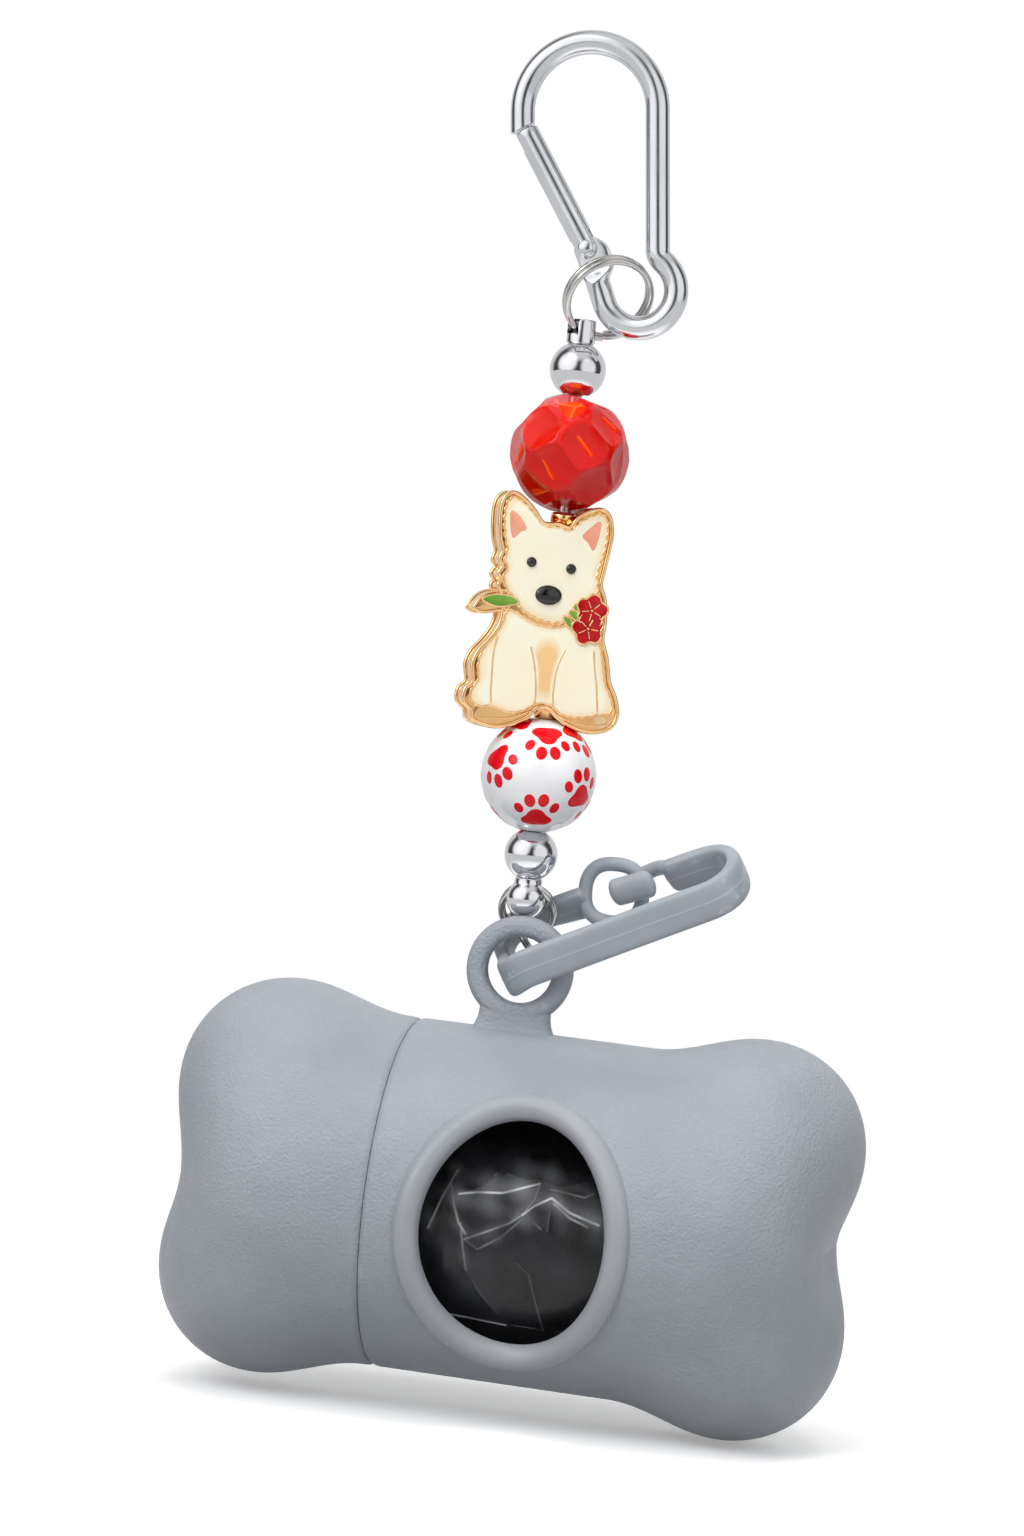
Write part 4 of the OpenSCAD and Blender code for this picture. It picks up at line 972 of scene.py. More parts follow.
def paw_spot(lon, lat, spin, centre, half, notch=0.0, tilt=0.0):
    """One raised spot of paint: rows run from its middle up to its edge and back under it. A
    notch lets the outline swell and shrink three times round, which makes the pad's lobes."""
    c = circle(30)
    reach = 1 + notch * (np.cos(3 * np.arctan2(c[:, 1], c[:, 0]) + np.pi / 2) * 0.5)
    outline = c * reach[:, None] * half
    ct, st = math.cos(math.radians(tilt)), math.sin(math.radians(tilt))
    outline = outline @ np.array([[ct, st], [-st, ct]])
    share = np.array([0.05, 0.4, 0.75, 0.93, 1.0, 1.0, 0.5, 0.05])
    lift = np.array([0.035, 0.035, 0.033, 0.026, 0.0, -0.08, -0.08, -0.08])
    uv = np.array(centre) + outline[None] * share[:, None, None]
    return patch(on_ball(lon, lat, spin, uv) * (WHITE_R + lift)[:, None, None])


def white_bead():
    """Glossy white ball with red paw prints: one three-lobed pad and four toes each."""
    z = middle_z("white_bead")
    ball("white_ball", "white_bead", z, 2 * WHITE_R, bead_white, "white_bead")
    toes = (((-0.31, 0.13), (0.085, 0.105), 20), ((-0.115, 0.31), (0.1, 0.125), 8),
            ((0.13, 0.32), (0.1, 0.125), -12), ((0.32, 0.14), (0.085, 0.11), -28))
    spots = []
    for lon, lat, spin in PAWS:
        spots.append(paw_spot(lon, lat, spin, (0, -0.08), (0.25, 0.2), 0.36))
        spots += [paw_spot(lon, lat, spin, at, half, 0.0, tilt) for at, half, tilt in toes]
    place = np.array([CHAIN_X, 0, z])
    piece("paw_prints", [shifted(s, place) for s in spots], paw_red, "white_bead")


# ---- charm: gold puppy with wires round its enamel ----
FACE_Y = CHARM_T / 2
TUFT = 1.1
BODY_EDGE = [(-3.1, 11.9), (-4.4, 13.4), (-5.9, 14.8), (-7.2, 15.5), (-8.2, 15.2), (-8.8, 13.8),
             (-8.8, 11.2), (-8.5, 9.2), (-8.1, 7.9), (-8.4, 6.6), (-7.9, 5.8), (-8.4, 4.8), (-7.9, 4.0),
             (-8.3, 3.2), (-7.4, 1.6), (-7.4, -0.9), (-7.9, -2.5), (-9.0, -4.2), (-10.1, -5.6),
             (-10.7, -7.4), (-10.4, -9.6), (-11.3, -10.6), (-11.4, -12.2), (-10.3, -13.3),
             (-9.8, -14.6), (-7.3, -15.2), (-5.0, -14.7), (-2.8, -13.6), (-1.9, -12.5), (-1.0, -12.1),
             (0.1, -12.3), (1.3, -13.3), (3.1, -14.3), (5.7, -14.8), (8.2, -14.1), (9.1, -12.4),
             (8.7, -10.2), (7.7, -8.2), (7.3, -6.4), (6.9, -4.6), (6.2, -2.6), (6.3, 0.0), (6.0, 2.6),
             (5.3, 4.4), (5.4, 5.6), (5.6, 7.0), (5.9, 9.1), (6.1, 11.4), (5.6, 13.6), (4.4, 14.4),
             (2.6, 13.9), (1.4, 13.0), (0.4, 11.7), (-1.2, 12.0)]
HEAD = [(-2.3, 11.6), (-3.3, 11.8), (-4.5, 13.0), (-5.8, 14.2), (-7.1, 14.9), (-7.9, 14.6), (-8.3, 13.4),
        (-8.3, 11.4), (-8.0, 9.6), (-7.6, 8.1), (-7.8, 6.6), (-7.3, 5.6), (-7.7, 4.4), (-7.2, 3.0),
        (-6.3, 2.0), (-5.6, 1.1), (-4.6, 0.2), (-2.7, -0.7), (-0.6, -1.0), (1.0, -0.6), (2.2, 0.4),
        (3.6, 1.6), (4.8, 3.2), (4.9, 4.6), (4.7, 5.6), (4.9, 7.0), (5.2, 8.4), (5.5, 10.2),
        (5.5, 12.2), (5.1, 13.5), (4.2, 13.8), (2.9, 13.3), (1.7, 12.4), (0.5, 11.3), (-0.9, 11.6)]
EARS = ([(-7.5, 13.1), (-6.3, 12.6), (-5.1, 11.0), (-6.0, 10.4), (-6.9, 9.6), (-7.3, 10.4), (-7.5, 11.8)],
        [(4.4, 12.8), (3.3, 12.1), (2.0, 10.7), (2.9, 9.9), (3.8, 8.9), (4.3, 10.3), (4.5, 11.6)])
BODY_FIELD = [(-6.8, 0.1), (-7.3, -1.6), (-8.3, -3.4), (-9.5, -5.2), (-10.0, -7.2), (-9.8, -9.2),
              (-10.5, -10.6), (-10.6, -11.8), (-9.5, -12.7), (-7.9, -12.6), (-6.7, -12.9), (-5.1, -13.2),
              (-3.4, -12.8), (-2.2, -11.9), (-0.9, -11.6), (0.3, -11.9), (1.6, -12.8), (3.2, -13.1),
              (5.2, -12.9), (6.5, -12.5), (7.8, -12.3), (8.4, -11.4), (8.0, -9.9), (7.1, -8.2), (6.7, -6.4),
              (6.3, -4.4), (5.7, -2.6), (4.6, -1.6), (3.0, -1.0), (1.2, -1.1), (-0.4, -1.5), (-2.7, -1.3),
              (-4.5, -0.6), (-5.6, 0.0)]
LEG_LINES = ([(-7.8, -3.4), (-8.1, -5.6), (-8.05, -8.4), (-8.0, -10.4), (-7.8, -12.1)],
             [(-3.2, -4.4), (-2.7, -6.0), (-2.2, -8.4), (-2.0, -10.6), (-2.1, -11.7)],
             [(1.3, -4.4), (0.7, -6.0), (0.35, -8.0), (0.3, -10.2), (0.45, -11.6)],
             [(5.2, -4.2), (5.5, -6.4), (5.95, -8.6), (6.2, -10.4), (6.4, -11.9)],
             [(-9.2, -14.3), (-7.2, -14.1), (-5.2, -13.9), (-3.0, -13.0), (-1.4, -12.4)],
             [(0.4, -12.7), (2.6, -13.6), (5.4, -14.0), (7.6, -13.6), (8.5, -12.9)])
CHEST = [(-2.9, -4.6), (-2.4, -6.4), (-2.0, -9.0), (-1.85, -11.2), (-0.9, -11.6), (0.05, -11.3),
         (0.15, -9.0), (0.45, -6.4), (1.0, -4.7), (0.6, -3.2), (-0.9, -2.5), (-2.3, -3.2)]
LEAF_PLATE = [(-11.2, 0.2), (-10.1, 1.8), (-8.6, 2.5), (-7.0, 2.5), (-6.6, 0.6), (-8.4, -0.1), (-10.0, -0.4),
              (-10.9, -0.2)]
LEAVES = ([(-10.2, 1.3), (-9.2, 1.9), (-7.7, 2.1), (-6.1, 1.9), (-5.4, 1.2), (-6.9, 0.7), (-8.2, 0.5),
           (-9.5, 0.8)],
          [(0.7, 0.0), (1.5, -0.1), (2.0, -0.8), (1.9, -1.5), (1.1, -0.9)],
          [(1.4, 0.7), (2.2, 0.9), (2.7, 0.3), (2.5, -0.4), (1.7, 0.1)],
          [(1.9, 1.5), (2.6, 1.8), (3.0, 1.3), (2.8, 0.8), (2.1, 1.0)])
FLOWERS = ((4.4, 1.1, 8.0), (4.1, -1.3, 30.0))
PETAL_OUT, PETAL_R = 1.25, 0.93
FACE_BEADS = ((-4.2, 6.7, (0.68, 0.68), 0.45), (1.1, 6.3, (0.68, 0.68), 0.45),
              (-1.55, 2.6, (1.78, 1.3), 0.62))


def faced(points, height, side):
    """Outline points in the charm's XZ plane at a height over its middle, on one face."""
    height = np.broadcast_to(height, points.shape[:-1])
    return np.stack([points[..., 0], -side * height, points[..., 1]], -1)


def inwards(outline, centre, inset):
    """The outline drawn towards its centre by a length."""
    way = outline - centre
    return centre + way * (1 - inset / np.linalg.norm(way, axis=-1, keepdims=True))


def enamel(points, side, top=3.13, base=2.9, crown=0.1, steps=5):
    """Enamel pad: its rows run from the middle out to the outline, swelling by crown in the
    middle, then down its wall; rim is 0 in the middle and 1 at the outline."""
    outline = smooth_loop(points, steps)
    centre = outline.mean(0)
    share = np.array([0.02, 0.3, 0.55, 0.75, 0.88, 0.96, 1.0, 1.0])
    height = top + crown * (1 - share ** 4)
    height[-1] = base
    rows = centre + (outline - centre)[None] * share[:, None, None]
    return patch(faced(rows, height[:, None], side), marks=share[:, None])


def line_wire(points, side, r, lift):
    """Gold wire along an open line, with its crown at a lift over the charm's face."""
    path = smooth_path(np.array(points, float), 6)
    return beaded_tube(faced(path, FACE_Y + lift - r, side), r, 8)


def wire(points, side, r, lift, steps=5, wave=0.0):
    """Gold wire round an outline, with its crown at a lift over the charm's face. A wave makes
    it run in and out by that much, in tufts about TUFT long."""
    outline = smooth_loop(points, steps * 2 if wave else steps)
    step = np.roll(outline, -1, 0) - outline
    run = np.cumsum(np.linalg.norm(step, axis=-1))
    beats = np.round(run[-1] / TUFT)
    across = unit(np.stack([-step[:, 1], step[:, 0]], -1))
    outline = outline + across * (wave * np.sin(2 * np.pi * beats * run / run[-1]))[:, None]
    return beaded_tube(faced(outline, FACE_Y + lift - r, side), r, 10, closed=True)


def gold_plate(points, half, round_by=0.45, steps=5):
    """Flat plate from an outline: its rows go from the middle of one face over the rounded
    edge to the middle of the other."""
    outline = smooth_loop(points, steps)
    centre = outline.mean(0)
    a = np.radians(np.linspace(90, 0, 6))
    inset = round_by * (1 - np.cos(a))
    height = half - round_by * (1 - np.sin(a))
    rows = [centre + (outline - centre) * 0.02] + [inwards(outline, centre, i) for i in inset]
    heights = np.concatenate([[half], height])
    front = np.stack([faced(p, h, 1) for p, h in zip(rows, heights)])
    back = front[::-1] * [1, -1, 1]
    return patch(np.concatenate([front, back]))


def petal_flower(x, z, spin):
    """Outline of a flower: the outer edge of five round petals, as a radius for each angle."""
    a = np.radians(np.arange(0, 360, 6.0))
    away = (a - math.radians(spin) + np.pi / 5) % (2 * np.pi / 5) - np.pi / 5
    r = PETAL_OUT * np.cos(away) + np.sqrt(np.maximum(PETAL_R ** 2 - (PETAL_OUT * np.sin(away)) ** 2, 0.01))
    return np.stack([x + r * np.cos(a), z + r * np.sin(a)], -1)


def dome(x, z, half, height, side, base=2.9):
    """Raised bead of enamel on the face: half a ball, flattened to a height, with a wall to base."""
    a = np.radians(np.linspace(88, 0, 12))
    c = circle(36)
    rows = np.array([x, z]) + c[None] * np.array(half) * np.cos(a)[:, None, None]
    heights = FACE_Y - 0.1 + (height + 0.1) * np.sin(a)
    rows = np.concatenate([rows, rows[-1:]])
    return patch(faced(rows, np.append(heights, base)[:, None], side))


def charm():
    """Gold body, wires along each field, and the enamel in cream, peach, pink, green, red and
    black, on the front and mirrored through the middle on the back."""
    body = [gold_plate(BODY_EDGE, 2.95), gold_plate(LEAF_PLATE, 2.9, 0.35),
            *[gold_plate(petal_flower(*flower)[::4], 2.95, 0.35) for flower in FLOWERS]]
    fur, shade, pink, black, green, red = [], [], [], [], [], []
    for side in (1, -1):
        body += [wire(BODY_EDGE, side, 0.3, -0.02), wire(LEAF_PLATE, side, 0.2, -0.05),
                 wire(HEAD, side, 0.17, -0.06, wave=0.09), wire(BODY_FIELD, side, 0.17, -0.06, wave=0.05)]
        body += [wire(o, side, 0.1, -0.1) for o in EARS]
        body += [line_wire(line, side, 0.11, -0.03) for line in LEG_LINES]
        fur += [enamel(HEAD, side, 3.14), enamel(BODY_FIELD, side, 3.1, crown=0.06)]
        shade.append(enamel(CHEST, side, 3.13, crown=0.06))
        pink += [enamel(o, side, 3.2, crown=0.08) for o in EARS]
        green += [enamel(o, side, 3.26, crown=0.12) for o in LEAVES]
        body += [wire(o, side, 0.14, 0.03) for o in LEAVES]
        for x, z, spin in FLOWERS:
            outline = petal_flower(x, z, spin)
            red.append(enamel(outline[::2], side, 3.36, crown=0.1, steps=2))
            body += [wire(outline[::2], side, 0.15, 0.14, 2), dome(x, z, (0.27, 0.27), 0.42, side)]
            body += [line_wire([[x, z] + 0.45 * way, [x, z] + 1.3 * way], side, 0.08, 0.2)
                     for way in circle(5, 1.0, spin + 36)]
        black += [dome(*bead, side) for bead in FACE_BEADS]
    lug_top, lug_foot = CHARM_H / 2, -CHARM_H / 2
    lug = turned([[1.0, lug_top - 0.5], [1.05, lug_top - 0.05], [1.2, lug_top], [1.5, lug_top - 0.08],
                  [1.7, lug_top - 0.4], [1.7, lug_top - 1.2], [1.35, lug_top - 1.6], [1.7, lug_top - 2.0],
                  [1.7, lug_foot + 1.6], [1.4, lug_foot + 1.2], [1.4, lug_foot + 0.2], [1.25, lug_foot],
                  [1.1, lug_foot], [1.0, lug_foot + 0.3]],
                 48, closed=True)
    body.append(lug)
    rows = (("charm_gold", body, gold, "charm_body", "rose_gold"),
            ("charm_fur_enamel", fur, fur_cream, "charm_fur", "cream_enamel"),
            ("charm_chest_enamel", shade, chest_peach, "charm_shade", "peach_enamel"),
            ("charm_ear_enamel", pink, ear_pink, "charm_ears", "pink_enamel"),
            ("charm_face_beads", black, eye_black, "charm_face", "black_enamel"),
            ("charm_leaf_enamel", green, leaf_green, "charm_leaves", "green_enamel"),
            ("charm_petal_enamel", red, flower_red, "charm_flower", "red_enamel"))
    for name, parts, material, node, slot in rows:
        piece(name, [moved(p, in_charm) for p in parts], material, "charm", [node], sharp=50)


# ---- strap ----
STRAP_RISE = math.radians(26)
ALONG = np.array([math.cos(STRAP_RISE), 0, math.sin(STRAP_RISE)])
ACROSS = np.array([-math.sin(STRAP_RISE), 0, math.cos(STRAP_RISE)])
BACK = np.array([0, 1.0, 0])
BAND_W, BAND_T = 5.0, 2.0
EYE_R, EYE_WIRE = 3.85, 1.9


def strap_at(u, y, w):
    """A place on the strap, along it, backwards and across it from the hanging eye's middle."""
    return EYELET_C + u * ALONG + y * BACK + w * ACROSS


NEAR_START = strap_at(2.2, -4.19, -0.2)
NEAR_END = NEAR_START + 24.8 * ALONG
FAR_START = NEAR_END + 10.8 * BACK + 4.8 * ACROSS
FAR_END = strap_at(3.57, 9.18, 5.96)
FAR_DIR = unit(FAR_END - FAR_START)
HOLE_P = strap_at(-1.57, 0, -0.15)
HOLE_DIR = unit([-0.141, 0.9, 0.286])
STRAP_EYE_C = mix(FAR_START, FAR_END, 0.56)
EYE_LEFT = STRAP_EYE_C + FAR_DIR * (EYE_R - 0.5)
BAND_STOP = STRAP_EYE_C - FAR_DIR * 7.4


def lean_dir(lean):
    """Direction of the band's width at a lean, in degrees."""
    a = np.radians(np.atleast_1d(lean))[:, None]
    return np.cos(a) * ACROSS - np.sin(a) * BACK


def straight(a, b):
    """A bezier's four points along a straight line."""
    return [a, mix(a, b, 1 / 3), mix(a, b, 2 / 3), b]


def band():
    """The band along its closed route: cubic stretches, with the width direction leaning more
    or less. Its section is a rounded rectangle with a fine parting line along each broad face,
    which its marks tint lighter as a painted highlight."""
    stretches = ((straight(EYE_LEFT, FAR_END), 46, 56.7, 24),
                 ([FAR_END, FAR_END + FAR_DIR * 9.2, HOLE_P + HOLE_DIR * 5.7, HOLE_P], 56.7, 24.9, 60),
                 ([HOLE_P, HOLE_P - HOLE_DIR * 2.8, NEAR_START - ALONG * 2.2, NEAR_START], 24.9, 12, 40),
                 (straight(NEAR_START, NEAR_END), 12, 12, 40),
                 ([NEAR_END, NEAR_END + ALONG * 6, FAR_START - FAR_DIR * 6, FAR_START], 12, 30, 60),
                 (straight(FAR_START, BAND_STOP), 30, 40, 14))
    path, ups, dirs = [], [], []
    for k, (p, lean_a, lean_b, n) in enumerate(stretches):
        t = np.linspace(0, 1, n, endpoint=k == len(stretches) - 1)
        way = unit(bezier(p, np.minimum(t + 0.01, 1)) - bezier(p, np.maximum(t - 0.01, 0)))
        up = lean_dir(mix(lean_a, lean_b, ease(t)))
        path.append(bezier(p, t))
        dirs.append(way)
        ups.append(unit(up - (up * way).sum(-1, keepdims=True) * way))
    path, ups, dirs = np.concatenate(path), np.concatenate(ups), np.concatenate(dirs)
    section = squircle(96, BAND_T / 2, BAND_W / 2, 4.0)
    # Marks along the parting line, which carry its painted highlight.
    line = np.exp(-(section[:, 1] / 0.09) ** 2)
    section = section + np.stack([0.05 * line * np.sign(section[:, 0]), 0 * line], -1)
    ends = np.minimum(np.arange(len(path)), np.arange(len(path))[::-1]) / 2.5
    shrink = np.where(ends < 1, np.sqrt(np.maximum(1 - (1 - ends) ** 2, 0.02)), 1)
    return swept(path, np.cross(dirs, ups), ups, section * shrink[:, None, None], marks=line[None])


def strap():
    """The band, its closing eye, which is a rounded square of wire, and the hook that goes
    behind the eye, through it, and over its right side with a thick head."""
    c = circle(110)
    square = (np.abs(c) ** 2.5).sum(-1) ** (-1 / 2.5) * EYE_R
    ring = np.stack([c[:, 0] * square, 0 * square, c[:, 1] * square], -1) + STRAP_EYE_C
    eye = beaded_tube(ring, EYE_WIRE / 2, 22, closed=True)
    w = lean_dir(8)[0]

    def from_eye(along, up, back):
        """A place from the closing eye's middle: along the strap, up its width, backwards."""
        return STRAP_EYE_C - FAR_DIR * along + w * up + BACK * back

    knees = [(8.4, 0.9, 0), (6.8, 1.5, 1.4), (3.6, 1.2, 2.3), (0.9, 0.4, 2.1), (0.7, 0, -0.4),
             (1.0, 0, -2.4)]
    tongue = beaded_tube(smooth_path(np.array([from_eye(*knee) for knee in knees]), 10), 1.0, 20)
    head = beaded_tube(np.linspace(from_eye(0.9, 0, -2.5), from_eye(5.2, 0, -2.5), 14), 1.0, 28)
    head = moved(head, lambda p: p + ((p - from_eye(0, 0, -2.5)) @ w)[:, None] * w * 0.86)
    piece("strap_band", [band(), eye, tongue, head], strap_grey, "strap", ["clip_strap"])


# ---- bone case ----
def bone_field(p):
    """Below 0 inside the bone: a round-ended cylinder along X, joined by a smooth minimum to
    the nearest of four flattened balls."""
    x, y, z = np.abs(p[..., 0]), p[..., 1], p[..., 2]
    across = np.hypot(y, z) - (CORE_D / 2 - CORE_ROUND)
    beyond = x - (CORE_LEN / 2 - CORE_ROUND)
    core = (np.minimum(np.maximum(across, beyond), 0)
            + np.hypot(np.maximum(across, 0), np.maximum(beyond, 0)) - CORE_ROUND)
    lobe = np.sqrt((x - LOBE_X) ** 2 + (LOBE_FLAT * y) ** 2 + (np.abs(z) - LOBE_Z) ** 2) - LOBE_R
    near = np.maximum(BLEND - np.abs(core - lobe), 0) / BLEND
    return np.minimum(core, lobe) - near ** 2 * BLEND / 4


def bone_rows(x, tilt, depth, side, cols):
    """Rows of points on the bone at a depth under its surface: rays leave the axis at x, tilted
    towards the end by tilt degrees, and are halved down to where the field is -depth."""
    a = 2 * np.pi * np.arange(cols) / cols
    tilt = np.radians(tilt)[:, None]
    way = np.stack(np.broadcast_arrays(side * np.sin(tilt), np.cos(tilt) * np.cos(a),
                                       np.cos(tilt) * np.sin(a)), -1)
    start = np.zeros_like(way)
    start[..., 0] = side * x[:, None]
    low, high = np.zeros(way.shape[:2]), np.full(way.shape[:2], 60.0)
    for _ in range(26):
        half = (low + high) / 2
        inside = bone_field(start + way * half[..., None]) < -np.reshape(depth, (-1, 1))
        low, high = np.where(inside, half, low), np.where(inside, high, half)
    return start + way * low[..., None]


def bone_half(from_x, side, straight_rows, fan_rows, cols=160):
    """Half of the bone as one closed shell: inner wall from its end to the seam, then the outer
    wall back. The outer edge at the seam rolls in, which draws the seam as a fine groove."""
    seam = np.array([0.0, 0.12, 0.3, 0.55, 0.85])
    x = np.concatenate([from_x + seam, np.linspace(from_x + 1.4, FAN_X, straight_rows)])
    fan = np.linspace(0, 1, fan_rows)[1:]
    x = np.concatenate([x, mix(FAN_X, FAN_END, fan)])
    tilt = np.concatenate([np.zeros(len(x) - len(fan)), FAN_TILT * fan])
    roll_in = np.zeros(len(x))
    roll_in[:5] = 0.42 * (1 - seam / 0.85) ** 2
    outer = bone_rows(x, tilt, roll_in, side, cols)
    inner = bone_rows(x[::2], tilt[::2], np.full(len(x[::2]), CASE_WALL), side, cols)
    if side < 0:
        reach = np.hypot(inner[..., 1], inner[..., 2])
        clear = np.maximum(COLLAR_R + 0.05, reach) / reach
        inner[..., 1:] *= np.where(inner[..., 0] > SEAM_X - COLLAR_LEN - 0.6, clear, 1)[..., None]
    return patch(np.concatenate([inner[::-1], outer]))


def window_loop(n, half):
    """The window's oval in the bone's XZ plane."""
    a = 2 * np.pi * np.arange(n) / n
    return np.stack([WINDOW_C[0] + half[0] * np.cos(a), WINDOW_C[2] + half[1] * np.sin(a)], -1), a


def window_rim():
    """Round bead along the window's oval, laid on the core's cylinder."""
    loop, a = window_loop(180, RIM_MID)
    x, z = loop[:, 0], loop[:, 1]
    y = -np.sqrt((CORE_D / 2) ** 2 - z * z) + 0.45
    path = np.stack([x, y, z], -1)
    up = unit(np.stack([0 * y, y, z], -1))
    flow = unit(np.stack([-RIM_MID[0] * np.sin(a), 0 * a, RIM_MID[1] * np.cos(a)], -1))
    way = unit(flow - (flow * up).sum(-1, keepdims=True) * up)
    return swept(path, up, np.cross(up, way), circle(28, RIM_R), closed=True)


def hanging_eye():
    """Thick ring with a superellipse section, and a neck that flares into the bone: its half
    width grows with the cube of the way down, and its half thickness with the fifth power."""
    half = (EYELET_OD - EYELET_ID) / 4
    mid = (EYELET_OD + EYELET_ID) / 4
    out, way = arc_xz(np.zeros(3), mid, 0, 360, 121)
    section = squircle(32, half, EYELET_T / 2, 2.7)
    ring = swept(out[:-1], way[:-1], (0, 1, 0), section, closed=True)
    t = np.linspace(0, 1, 22)
    foot = EYELET_RISE - CORE_D / 2 + 1.4
    width = 4.7 + 1.9 * t ** 3
    thick = EYELET_T / 2 - 0.02 + 1.1 * t ** 5
    z = mix(-EYELET_OD * 0.33, -foot, t)
    c = squircle(48, 1.0, 1.0, 4.0)
    neck = patch(np.stack([c[None, :, 0] * width[:, None], c[None, :, 1] * thick[:, None],
                           np.repeat(z[:, None], 48, 1)], -1))
    return [shifted(p, [-EYELET_BACK, 0, EYELET_RISE]) for p in (ring, neck)]


def collar():
    """Tube that the cap pushes over, its mouth rounded."""
    x0, x1, r = SEAM_X - COLLAR_LEN, SEAM_X + 4, COLLAR_R
    profile = np.array([[r - COLLAR_WALL + 0.1, x0], [r - 0.35, x0], [r - 0.1, x0 + 0.12], [r, x0 + 0.4],
                        [r, x1], [r - COLLAR_WALL, x1], [r - COLLAR_WALL, x0 + 0.2]])
    tube = turned(profile, 128, closed=True)
    return moved(tube, lambda q: q[:, [2, 0, 1]])


def bone_case():
    """Body half with its window cut, rim, hanging eye and collar; and the cap half."""
    half = bone_half(SEAM_X, 1, 56, 60)
    body = piece("case_body", [moved(half, in_bone)], shell_grey)
    oval, _ = window_loop(120, RIM_MID - 0.5)
    hole = np.stack([np.stack([oval[:, 0], np.full(120, y), oval[:, 1]], -1) for y in (-40.0, -5.0)])
    carve(body, [moved(patch(hole), in_bone)], sharp=35)
    dress(body, "case", ["body_shell"])
    piece("window_rim", [moved(window_rim(), in_bone)], rim_grey, "case")
    piece("hanging_eye", [moved(p, in_bone) for p in hanging_eye()], shell_grey, "case")
    piece("case_collar", [moved(collar(), in_bone)], inner_grey, "case")
    cap = bone_half(-SEAM_X + SEAM_GAP, -1, 12, 60)
    piece("case_cap", [moved(cap, in_bone)], shell_grey, "cap", ["cap_shell"])


# ---- bags ----
# Folds of the film seen in the window: points (x, z), how far each stands out, its width, and how bright the
# painted glint along it is.
FOLDS = (([(-4.0, 4.1), (-1.6, 4.6), (1.6, 4.9), (6.1, 6.6)], 0.5, 1.6, 1.0),
         ([(6.1, 6.5), (5.9, 4.8), (4.7, 2.7), (3.0, 1.3), (0.2, -0.1), (-2.5, -1.4)], 0.28, 0.9, 0.4),
         ([(6.0, 4.1), (5.0, 2.5), (2.2, -0.5), (-0.7, -2.5), (-2.3, -1.5)], -0.22, 0.8, 0.22),
         ([(4.6, 2.6), (6.0, 3.9), (8.0, 5.1), (10.7, 3.6), (14.6, 2.6)], 0.42, 1.2, 0.9),
         ([(8.4, 4.5), (10.7, 3.0), (13.2, 2.2)], 0.2, 0.6, 0.6),
         ([(6.5, 12.4), (6.3, 6.8)], -0.2, 1.0, 0.05),
         ([(-4.8, 6.9), (-5.3, 5.4), (-4.5, 2.9), (-3.5, 0.6), (-2.4, -0.7)], 0.34, 0.9, 0.5),
         ([(-3.2, 0.6), (-2.6, -2.2), (-1.9, -5.2)], 0.26, 0.8, 0.3),
         ([(-1.9, -5.2), (-0.1, -7.9), (2.4, -10.7)], 0.2, 0.9, 0.08),
         ([(4.7, -3.5), (6.3, -4.8), (7.3, -8.0), (8.6, -12.5)], 0.2, 0.8, 0.12),
         ([(-2.3, 4.6), (-0.7, 5.6), (0.3, 7.2)], 0.2, 0.7, 0.12),
         ([(0.1, 5.0), (1.8, 7.4), (4.8, 6.6)], 0.16, 0.7, 0.1),
         ([(7.7, 6.1), (12.2, 5.7), (13.3, 6.3)], 0.26, 0.9, 0.22),
         ([(-7.4, -0.6), (-6.8, 1.1), (-6.2, 3.1), (-5.3, 5.3)], 0.4, 1.0, 0.5),
         ([(8.0, 5.0), (8.1, 1.0)], 0.18, 0.8, 0.1),
         ([(5.6, 2.2), (7.2, 1.2)], 0.15, 0.5, 0.2))
FILM_R, FILM_START, FILM_HALF = 16.55, 130.0, 25.8
FOLD_DROP = -1.6
# Line of the painted glint along the film's free edge.
EDGE_GLINT = [(-4.3, -13.2), (-0.4, -13.5), (3.4, -13.7)]
EDGE_Z = -13.5


def from_fold(points, x, s):
    """Distance of places (x, s) on the flattened film from a line of points."""
    line = np.array(points, float)
    a, b = line[:-1], line[1:]
    place = np.stack([x, s], -1)[..., None, :]
    t = np.clip(((place - a) * (b - a)).sum(-1) / ((b - a) ** 2).sum(-1), 0, 1)
    return np.linalg.norm(place - (a + (b - a) * t[..., None]), axis=-1).min(-1)


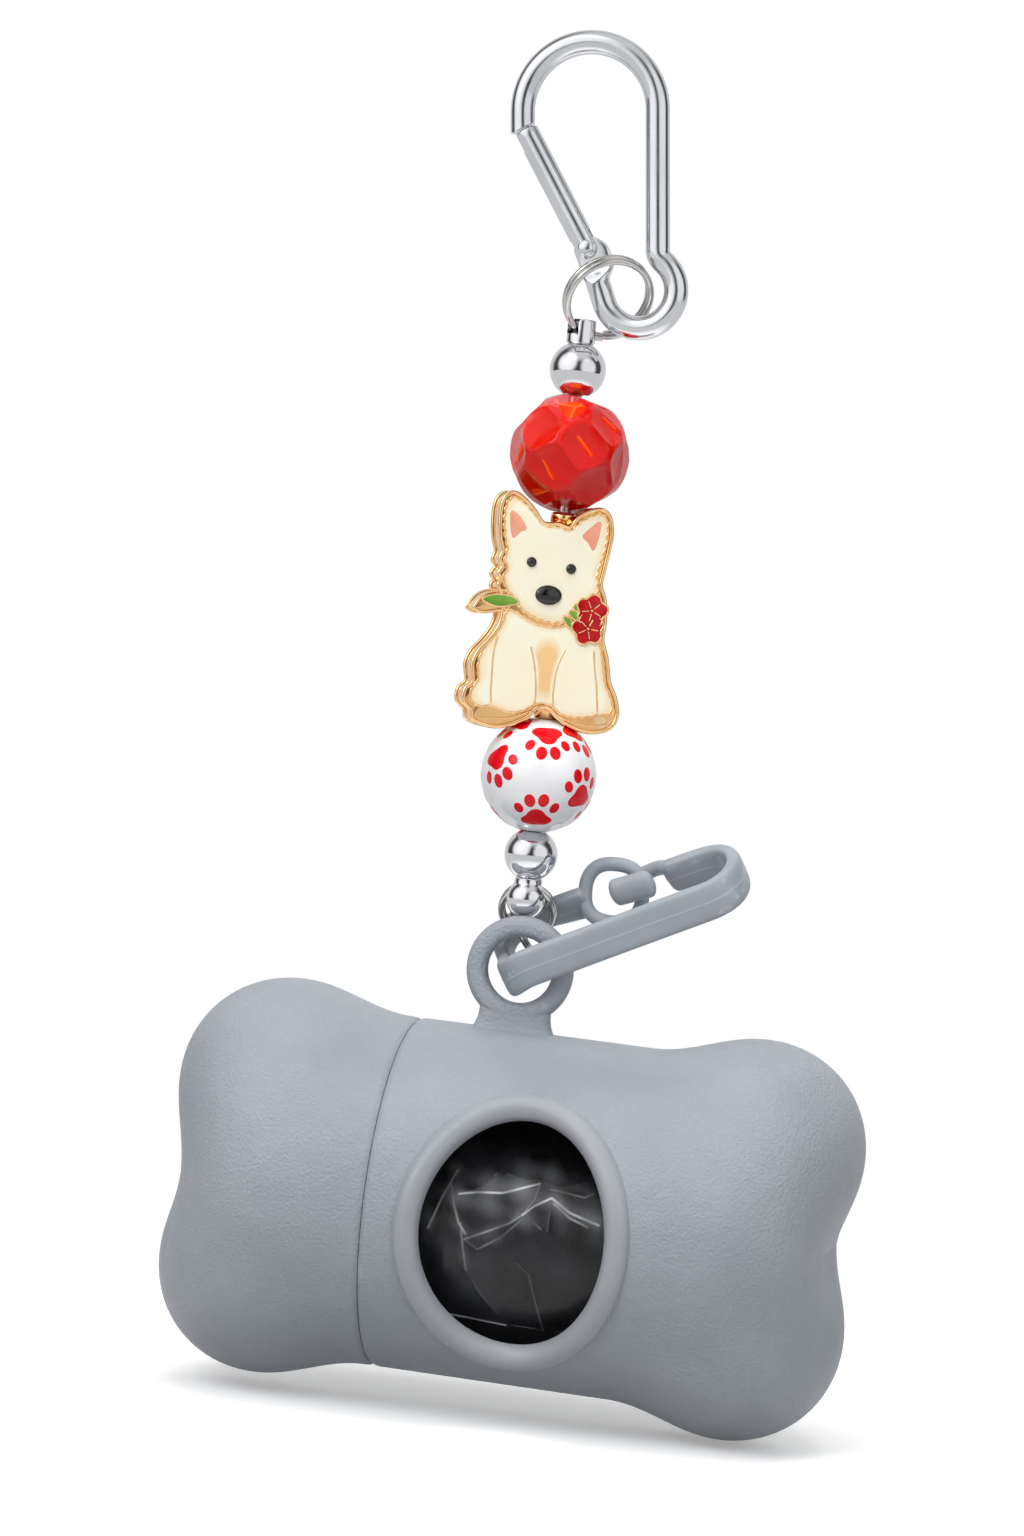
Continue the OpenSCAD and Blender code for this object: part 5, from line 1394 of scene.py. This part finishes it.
def film_height(x, z, arc):
    """How far the film stands off its cylinder: each fold is a broad tent that falls off as
    exp(-distance/width) under a narrow ridge; loose folds elsewhere come from a seed. Also
    gives a painted glint along each fold's ridge and along the film's free edge, with a painted sheen beside
    each fold."""
    height, painted_glint = np.zeros(x.shape), np.zeros(x.shape)
    patchy = 0.55 + 0.45 * np.sin(x * 0.9 + 1.1 * z) * np.sin(0.7 * z - 0.5 * x + 1.0)
    for points, lift, width, painted_light in FOLDS:
        away = from_fold(points, x, z - FOLD_DROP)
        height = height + lift * (0.62 * np.exp(-away / width) + 0.38 * np.exp(-away / 0.3))
        # Painted glint along the fold's ridge, and a painted sheen spread beside it.
        line = painted_light * np.exp(-(away / 0.11) ** 2) * (0.7 + 0.3 * np.sin(1.7 * x + 0.9))
        painted_sheen = 0.24 * painted_light * np.exp(-(away / (1.5 * width)) ** 1.4) * patchy
        painted_glint = np.maximum(painted_glint, line + painted_sheen)
    # Painted glint along the film's free edge.
    painted_glint = np.maximum(painted_glint, 0.95 * np.exp(-(from_fold(EDGE_GLINT, x, z) / 0.17) ** 2))
    draw = np.random.default_rng(12)
    for _ in range(40):
        at = draw.uniform((-25, -50), (25, 50))
        way = draw.uniform(-9, 9, 2)
        bend = draw.uniform(-2, 2, 2)
        lift = draw.uniform(-0.12, 0.22)
        height = height + lift * np.exp(-from_fold([at - way, at + bend, at + way], x, arc) / 1.3)
    return height, painted_glint


def loose_bag():
    """The first bag, loose round the roll: an arc of film from over the top to a free edge at
    the front, crumpled by its folds, with its own thin wall."""
    x = np.concatenate([np.linspace(-FILM_HALF, -11, 24, endpoint=False),
                        np.linspace(-11, 19, 206, endpoint=False), np.linspace(19, FILM_HALF, 14)])
    edge = 270 + np.degrees(np.arcsin((ROLL_Z - EDGE_Z + 0.25 * np.sin(x / 3.1)) / FILM_R))
    share = np.concatenate([np.linspace(0, 0.3, 36, endpoint=False), np.linspace(0.3, 1, 330)])
    angle = np.radians(mix(FILM_START, edge[None], share[:, None]))
    xs = np.broadcast_to(x, angle.shape)
    z = ROLL_Z - FILM_R * np.cos(angle)
    front = np.sin(angle) < -0.2
    height, painted_glint = film_height(xs, np.where(front, z, 99.0), (np.radians(270) - angle) * FILM_R)
    r = FILM_R + 0.2 + np.clip(0.6 * height, -0.18, 0.2)

    def film_place(x, angle, radius):
        """Place on the roll at x along it, an angle from its foot and a radius."""
        return np.stack([x + 0 * angle, radius * np.sin(angle), -radius * np.cos(angle)], -1)

    under = film_place(xs[:, ::-16], angle[:, ::-16], FILM_R - 0.03)
    closed = np.concatenate([film_place(xs, angle, r), under], 1)
    # The painted glints become the film's rim attribute, which its material tints light grey.
    marks = np.concatenate([painted_glint, np.zeros(under.shape[:2])], 1)
    piece("loose_film", [moved(patch(closed, marks=marks), in_roll)], film_black, "roll", ["leading_bag"],
          60)


def roll_and_core():
    """The wound bags, their ends stepped by the turns, on a card tube."""
    half, r, bore = ROLL_LEN / 2, ROLL_D / 2 - 0.02, CORE_TUBE_D / 2
    rings_r = np.linspace(bore + 0.1, r - 0.5, 40)
    step = half - 0.25 + 0.18 * np.sin(np.arange(40) * 2.4) * np.sin(np.arange(40) * 0.7)
    face = np.stack([rings_r, step], -1)
    edge = np.array([[r - 0.2, half - 0.15], [r, half - 0.5]])
    profile = np.concatenate([[[bore, half - 0.6]], face, edge])
    wound = turned(np.concatenate([profile, (profile * [1, -1])[::-1]]), 128, closed=True)

    def about_x(p):
        """From a piece turned about Z to the same about the roll's axis."""
        return in_roll(p[:, [2, 0, 1]])

    piece("wound_bags", [moved(wound, about_x)], roll_black, "roll", ["bag_roll"], 30)
    inner, end = bore - CORE_TUBE_WALL, half + 0.3
    lip = np.array([[bore - 0.02, end - 0.15], [bore - 0.15, end], [inner + 0.15, end], [inner, end - 0.1]])
    tube = turned(np.concatenate([(lip * [1, -1])[::-1], lip]), 96, closed=True)
    piece("card_tube", [moved(tube, about_x)], card_brown, "roll", ["roll_core"], 30)


carabiner_frame()
carabiner_gate()
gate_rivet()
gate_spring()
rings()
bail_and_rod()
ball("upper_ball", "top_ball", middle_z("top_ball"), 7.4, ball_chrome, "top_ball")
ball("lower_ball", "low_ball", middle_z("low_ball"), 7.0, ball_chrome, "low_ball")
red_bead()
white_bead()
charm()
strap()
bone_case()
loose_bag()
roll_and_core()
